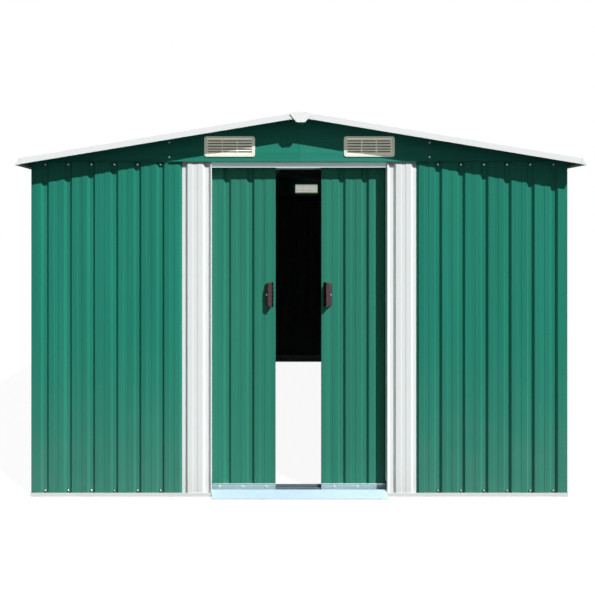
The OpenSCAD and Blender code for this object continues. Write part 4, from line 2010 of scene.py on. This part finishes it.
@dataclass
class Eaves:
    """Drip edges along the eaves, with the folded tabs that close their ends.

    Attributes:
        plan: Main sizes of the shed.
        finishes: Finishes of the shed.
        thickness: Thickness of the steel.
        reach: How far the lip reaches out.
        rise: How far the lip's edge lies above its foot.
        foot: Foot of the face, from the underside of the roof.
        top: Top of the face, from the underside of the roof.
        gap: Between the roof sheets' lower edge and the face.
    """

    plan: ShedPlan
    finishes: Finishes
    thickness: float = 0.0012
    reach: float = 0.024
    rise: float = 0.001
    foot: float = -0.016
    top: float = 0.0124
    gap: float = 0.0003

    def build(self) -> list[bpy.types.Object]:
        """Fold one drip edge and one tab, and copy them to their places.

        Returns:
            The finished pieces.
        """
        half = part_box("eave_trim_right")[1].y
        edge, tab = self._edge(half), self._tab(half)
        right = (
            Matrix.Translation((0, 0, self.plan.ridge_z))
            @ turn(self.plan.angle, "Y")
            @ Matrix.Translation((self.plan.roof_end + self.gap + self.thickness, 0, 0))
            @ turn(90, "Z")
        )
        places = {Side.RIGHT: right, Side.LEFT: turn(180, "Z") @ right}
        made = []
        for side, place in places.items():
            piece = copy_to(edge, place)
            piece.name = f"drip_edge_{side.word}"
            made.append(hand_over(piece, "shed", f"eave_trim_{side.word}"))
        tabs = []
        for place in places.values():
            tabs += [copy_to(tab, place), copy_to(tab, place @ MIRROR)]
            tabs[-1].data.flip_normals()
        for model in (edge, tab):
            bpy.data.objects.remove(model)
        return [*made, hand_over(join(tabs, "drip_edge_tabs"), "shed")]

    def _edge(self, half: float) -> bpy.types.Object:
        """Fold a drip edge with its outside towards -Y.

        Args:
            half: Half its length.

        Returns:
            The drip edge, not yet in its place.
        """
        edge = add_strip("drip_edge", -half, half, self.foot + self.thickness, self.top)
        low = self.foot + self.thickness
        with editing(edge):
            pick(Pick.EDGES, lambda e: all(abs(p.co.z - low) < NEAR for p in e.verts))
            extrude(y=self.thickness - self.reach, z=self.rise)
            pick(Pick.EDGES, lambda e: all(abs(p.co.z - low) < NEAR and abs(p.co.y) < NEAR for p in e.verts))
            bevel(0.0014, 3)
        # The underside takes the grey back coat, which is partly painted shade.
        thicken(edge, self.finishes.fascia, self.finishes.eave_back, self.thickness)
        return edge

    def _tab(self, half: float) -> bpy.types.Object:
        """Fold a tab at the right-hand end of a drip edge.

        Args:
            half: Half the length of the drip edge.

        Returns:
            The tab, not yet in its place.
        """
        low, tip = self.foot, self.thickness - self.reach
        tab = add_box("tab", Vector((half - SHEET, tip, low)), Vector((half, 0, self.top)))
        with editing(tab):
            pick(Pick.POINTS, lambda p: p.co.y < tip + NEAR and p.co.z > low + NEAR)
            shift(y=-tip - 0.0008)
            pick(Pick.POINTS, lambda p: p.co.y < tip + NEAR and p.co.z < low + NEAR)
            shift(z=self.rise)
        dress(tab, self.finishes.fascia)
        return tab


@dataclass
class HeadTrack:
    """Channel over the doorway that the doors hang from, with a rolled hem at its front.

    Attributes:
        plan: Main sizes of the shed.
        finishes: Finishes of the shed.
        thickness: Thickness of the steel.
        hem: Radius of the rolled hem.
        lip: Width of the inner lip.
    """

    plan: ShedPlan
    finishes: Finishes
    thickness: float = 0.0012
    hem: float = 0.0042
    lip: float = 0.017

    def build(self) -> bpy.types.Object:
        """Build the channel.

        Returns:
            The finished piece.
        """
        low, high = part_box("door_track_top")
        t = self.thickness
        corners = {
            "front": (Vector((low.x, low.y, low.z + self.hem)), Vector((high.x, low.y + t, high.z))),
            "top": (Vector((low.x, low.y, high.z - t)), high),
            "back": (Vector((low.x, high.y - t, low.z)), high),
            "lip": (Vector((low.x, high.y - t - self.lip, low.z)), Vector((high.x, high.y, low.z + t))),
        }
        plates = [add_box(name, *pair) for name, pair in corners.items()]
        for plate in plates:
            dress(plate, self.finishes.header, self.finishes.hem)
            trim_to_roof(plate, self.plan, close=True)
        start = (low.x, low.y + self.hem, low.z + self.hem)
        hem = add_rod("hem", self.hem, high.x - low.x, 20, start)
        dress(hem, self.finishes.header, self.finishes.hem, shown=1)
        piece = join([*plates, hem], "head_track")
        smooth(piece, ROUND)
        return hand_over(piece, "shed", "door_track_top")


@dataclass
class Closers:
    """Dark foam strips between the gables and the pans of the roof sheets.

    Attributes:
        plan: Main sizes of the shed.
        finishes: Finishes of the shed.
        depth: Thickness of the foam.
        foot: Its lower edge, from the underside of the roof.
        top: Its upper edge, from the underside of the roof.
        start: From the ridge to its inner end.
        inset: How far it stops short of the side walls' faces.
    """

    plan: ShedPlan
    finishes: Finishes
    depth: float = 0.0075
    foot: float = -0.006
    top: float = 0.0096
    start: float = 0.002
    inset: float = 0.008

    def build(self) -> bpy.types.Object:
        """Cut the strips of both slopes and copy them to the other gable.

        Returns:
            The joined strips.
        """
        strips = []
        ridge = Matrix.Translation((0, 0, self.plan.ridge_z))
        for side in Side:
            strip = self._strip(side)
            settle(strip, ridge @ turn(side.value * self.plan.angle, "Y"))
            strips += [strip, copy_to(strip, turn(180, "Z"))]
        return hand_over(join(strips, "gable_closers"), "shed")

    def _strip(self, side: Side) -> bpy.types.Object:
        """Cut the strip of one slope with a soft lower edge.

        Args:
            side: Which slope.

        Returns:
            The strip, still level.
        """
        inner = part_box("gable_front_right")[1].y
        end = (self.plan.half_width - self.inset) / math.cos(math.atan(self.plan.slope))
        x0, x1 = sorted((side.value * self.start, side.value * end))
        strip = add_box("closer", Vector((x0, inner, self.foot)), Vector((x1, inner + self.depth, self.top)))
        with editing(strip):
            pick(Pick.EDGES, lambda e: runs_along(e, 0) and e.verts[0].co.z < 0)
            bevel(0.002, 3)
        dress(strip, self.finishes.nylon)
        return strip


@dataclass
class RampLip:
    """Folded lip along the front of the ramp.

    Attributes:
        finishes: Finishes of the shed.
        height: Height of the lip.
        thickness: Thickness of its steel.
    """

    finishes: Finishes
    height: float = 0.0034
    thickness: float = 0.0014

    def build(self) -> bpy.types.Object:
        """Fold the lip.

        Returns:
            The finished piece.
        """
        low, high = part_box("door_ramp")
        front = low.y - self.thickness
        lip = add_box("ramp_lip", Vector((low.x, front, 0)), Vector((high.x, low.y, self.height)))
        with editing(lip):
            pick(Pick.EDGES, lambda e: runs_along(e, 0) and e.verts[0].co.z > self.height / 2)
            bevel(0.0004, 2)
        # Painted reflection: the lip takes the ramp's blue sky tint.
        dress(lip, self.finishes.ramp)
        smooth(lip)
        return hand_over(lip, "shed")


@dataclass
class FootBead:
    """Rolled bead along the front of the rail at a door's foot.

    Attributes:
        finishes: Finishes of the shed.
        side: Which door.
        radius: Radius of the bead.
    """

    finishes: Finishes
    side: Side
    radius: float = 0.0022

    def build(self) -> bpy.types.Object:
        """Roll the bead.

        Returns:
            The finished piece.
        """
        door = f"door_{self.side.word}"
        low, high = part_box(f"{door}_bottom_rail")
        start = (low.x, low.y, high.z - self.radius)
        bead = add_rod(f"{door}_foot_bead", self.radius, high.x - low.x, 16, start)
        dress(bead, self.finishes.hem)
        smooth(bead, ROUND)
        return hand_over(bead, door)


@dataclass
class SeamLaps:
    """Narrow strips behind the seams in the middle of the gables.

    Attributes:
        finishes: Finishes of the shed.
        half_width: Half their width.
        foot: How far they stop short of the gables' lower edge.
        top: How far they stop short of the ridge caps.
    """

    finishes: Finishes
    half_width: float = 0.012
    foot: float = 0.001
    top: float = 0.004

    def build(self) -> bpy.types.Object:
        """Cut one strip and copy it to the other gable.

        Returns:
            The joined strips.
        """
        low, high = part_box("gable_front_right")
        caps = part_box("ridge_end_caps")[0]
        foot = Vector((-self.half_width, high.y, low.z + self.foot))
        top = Vector((self.half_width, high.y + SHEET, caps.z - self.top))
        strip = add_box("gable_laps", foot, top)
        dress(strip, self.finishes.gable)
        piece = join([strip, copy_to(strip, turn(180, "Z"))], "gable_laps")
        return hand_over(piece, "shed")


# ---- Frame nodes that keep their shape ----


@dataclass
class KeptNodes:
    """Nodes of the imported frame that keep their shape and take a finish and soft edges.

    Attributes:
        finishes: Finishes of the shed.
        edge: Width of the soft edges.
        crisp: Edges steeper than this are softened, in degrees.
        merged: Points closer than this are one.
    """

    finishes: Finishes
    edge: float = 0.0004
    crisp: float = 40.0
    merged: float = 0.00002

    def dress(self) -> int:
        """Dress every node that still shows.

        Returns:
            How many nodes were dressed.
        """
        slots = {row["node"]: row["material_slot"] for row in frame["record"]["subparts"]}
        shown = [(name, node) for name, node in frame["nodes"].items() if not node.hide_render]
        for name, node in shown:
            node.data.materials.clear()
            node.data.materials.append(self.finishes.of_node(name, slots[name]))
            weld = node.modifiers.new("weld", "WELD")
            weld.merge_threshold = self.merged
            soften = node.modifiers.new("soften", "BEVEL")
            soften.width = self.edge
            soften.segments = 2
            soften.limit_method = "ANGLE"
            soften.angle_limit = math.radians(self.crisp)
        return len(shown)


# ---- Stage ----


@dataclass(frozen=True)
class Lamp:
    """A lamp that shines like the sun.

    Attributes:
        name: Its name.
        bearing: Direction it shines from, in degrees to the right of -Y.
        height: Its height in degrees.
        power: Its strength.
        size: How wide it looks, in degrees.
    """

    name: str
    bearing: float
    height: float
    power: float
    size: float

    def hang(self) -> None:
        """Add the lamp to the stage."""
        bpy.ops.object.light_add(type="SUN")
        lamp = bpy.context.object
        lamp.name = self.name
        a, e = math.radians(self.bearing), math.radians(self.height)
        towards = Vector((math.sin(a) * math.cos(e), -math.cos(a) * math.cos(e), math.sin(e)))
        lamp.rotation_mode = "QUATERNION"
        lamp.rotation_quaternion = towards.to_track_quat("Z", "Y")
        lamp.data.energy = self.power
        lamp.data.angle = math.radians(self.size)


@dataclass
class Stage:
    """White floor, daylight and camera.

    Attributes:
        lamps: The sun, and the soft light on the back.
        horizon: Strength of the sky's light at the horizon.
        zenith: Strength of the sky's light overhead.
        floor_glow: How white the floor looks in the shade.
        eye: Place of the camera.
        lens: Focal length of the camera, in millimetres.
        aim: How far its picture is shifted to the right and up, in widths.
    """

    lamps: tuple[Lamp, ...] = (
        Lamp("sun", bearing=42.0, height=47.0, power=4.85, size=1.2),
        Lamp("back_light", bearing=212.0, height=40.0, power=1.3, size=50.0),
    )
    horizon: float = 0.06
    zenith: float = 0.34
    floor_glow: float = 0.935
    eye: Spot = (-0.247, -4.155, 1.229)
    lens: float = 36.0
    aim: tuple[float, float] = (0.087, -0.1143)

    def build(self) -> None:
        """Set up the stage."""
        self._floor()
        self._sky()
        for lamp in self.lamps:
            lamp.hang()
        self._camera()
        bpy.context.scene.view_settings.view_transform = "Standard"

    def _seen(self, wiring: Wiring) -> bpy.types.NodeSocket:
        """Mask of the rays that see the white background.

        Args:
            wiring: Wiring of the floor or of the sky.

        Returns:
            1 where a ray sees it, or 0.
        """
        path = wiring.add("ShaderNodeLightPath").outputs
        either = wiring.math("MAXIMUM", path["Is Camera Ray"], path["Is Glossy Ray"])
        return wiring.math("MAXIMUM", either, path["Is Transmission Ray"])

    def _floor(self) -> None:
        """White floor that keeps the shed's shadow."""
        bpy.ops.mesh.primitive_plane_add(size=160)
        floor = bpy.context.object
        floor.name = "floor"
        material = bpy.data.materials.new("floor")
        material.use_nodes = True
        wiring = Wiring(material.node_tree)
        shader = material.node_tree.nodes["Principled BSDF"]
        wiring.feed(shader, Base_Color=(0.07, 0.07, 0.07, 1.0), Roughness=0.9, Specular_IOR_Level=0.0)
        strength = wiring.math("MULTIPLY", self._seen(wiring), self.floor_glow)
        glow = wiring.add("ShaderNodeEmission", {"Strength": strength})
        both = wiring.add("ShaderNodeAddShader", {0: shader.outputs[0], 1: glow.outputs[0]})
        wiring.feed(material.node_tree.nodes["Material Output"], Surface=both.outputs[0])
        dress(floor, material)

    def _sky(self) -> None:
        """Pale sky that looks white and lights the shed softly."""
        world = bpy.data.worlds.new("sky")
        world.use_nodes = True
        bpy.context.scene.world = world
        wiring = Wiring(world.node_tree)
        soft = world.node_tree.nodes["Background"]
        up = wiring.add("ShaderNodeSeparateXYZ", {0: wiring.add("ShaderNodeTexCoord").outputs["Generated"]})
        strength = wiring.scaled(up.outputs["Z"], self.horizon, self.zenith)
        wiring.feed(soft, Color=(0.88, 0.94, 1.0, 1.0), Strength=strength)
        white = wiring.add("ShaderNodeBackground", {"Color": (1, 1, 1, 1), "Strength": 1.0})
        shaders = {0: self._seen(wiring), 1: soft.outputs[0], 2: white.outputs[0]}
        mixed = wiring.add("ShaderNodeMixShader", shaders)
        wiring.feed(world.node_tree.nodes["World Output"], Surface=mixed.outputs[0])

    def _camera(self) -> None:
        """Camera square to the front, a little to the left of the middle."""
        bpy.ops.object.camera_add(location=self.eye, rotation=(math.pi / 2, 0, 0))
        camera = bpy.context.object
        camera.data.sensor_width = 36.0
        camera.data.lens = self.lens
        camera.data.shift_x, camera.data.shift_y = self.aim
        bpy.context.scene.camera = camera


def main() -> None:
    """Build the shed's looks and its stage."""
    logging.basicConfig(level=logging.INFO, format="%(name)s: %(message)s")
    plan = ShedPlan.from_frame()
    finishes = Finishes.mixed()
    walls = Walls(plan, finishes)
    made = walls.build()
    for side in Side:
        made.append(RoofSheet(plan, finishes, side).build())
        made += Door(finishes, side).build()
    made += Vents(finishes).build()
    made += Screws(plan, finishes, walls).build()
    made += Eaves(plan, finishes).build()
    made += [HeadTrack(plan, finishes).build(), SeamLaps(finishes).build(), Closers(plan, finishes).build()]
    made += [RampLip(finishes).build(), *(FootBead(finishes, side).build() for side in Side)]
    for piece in made:
        LOG.info("%s: %d faces", piece.name, len(piece.data.polygons))
    LOG.info("%d frame nodes keep their shape", KeptNodes(finishes).dress())
    Stage().build()


if __name__ == "__main__":
    main()
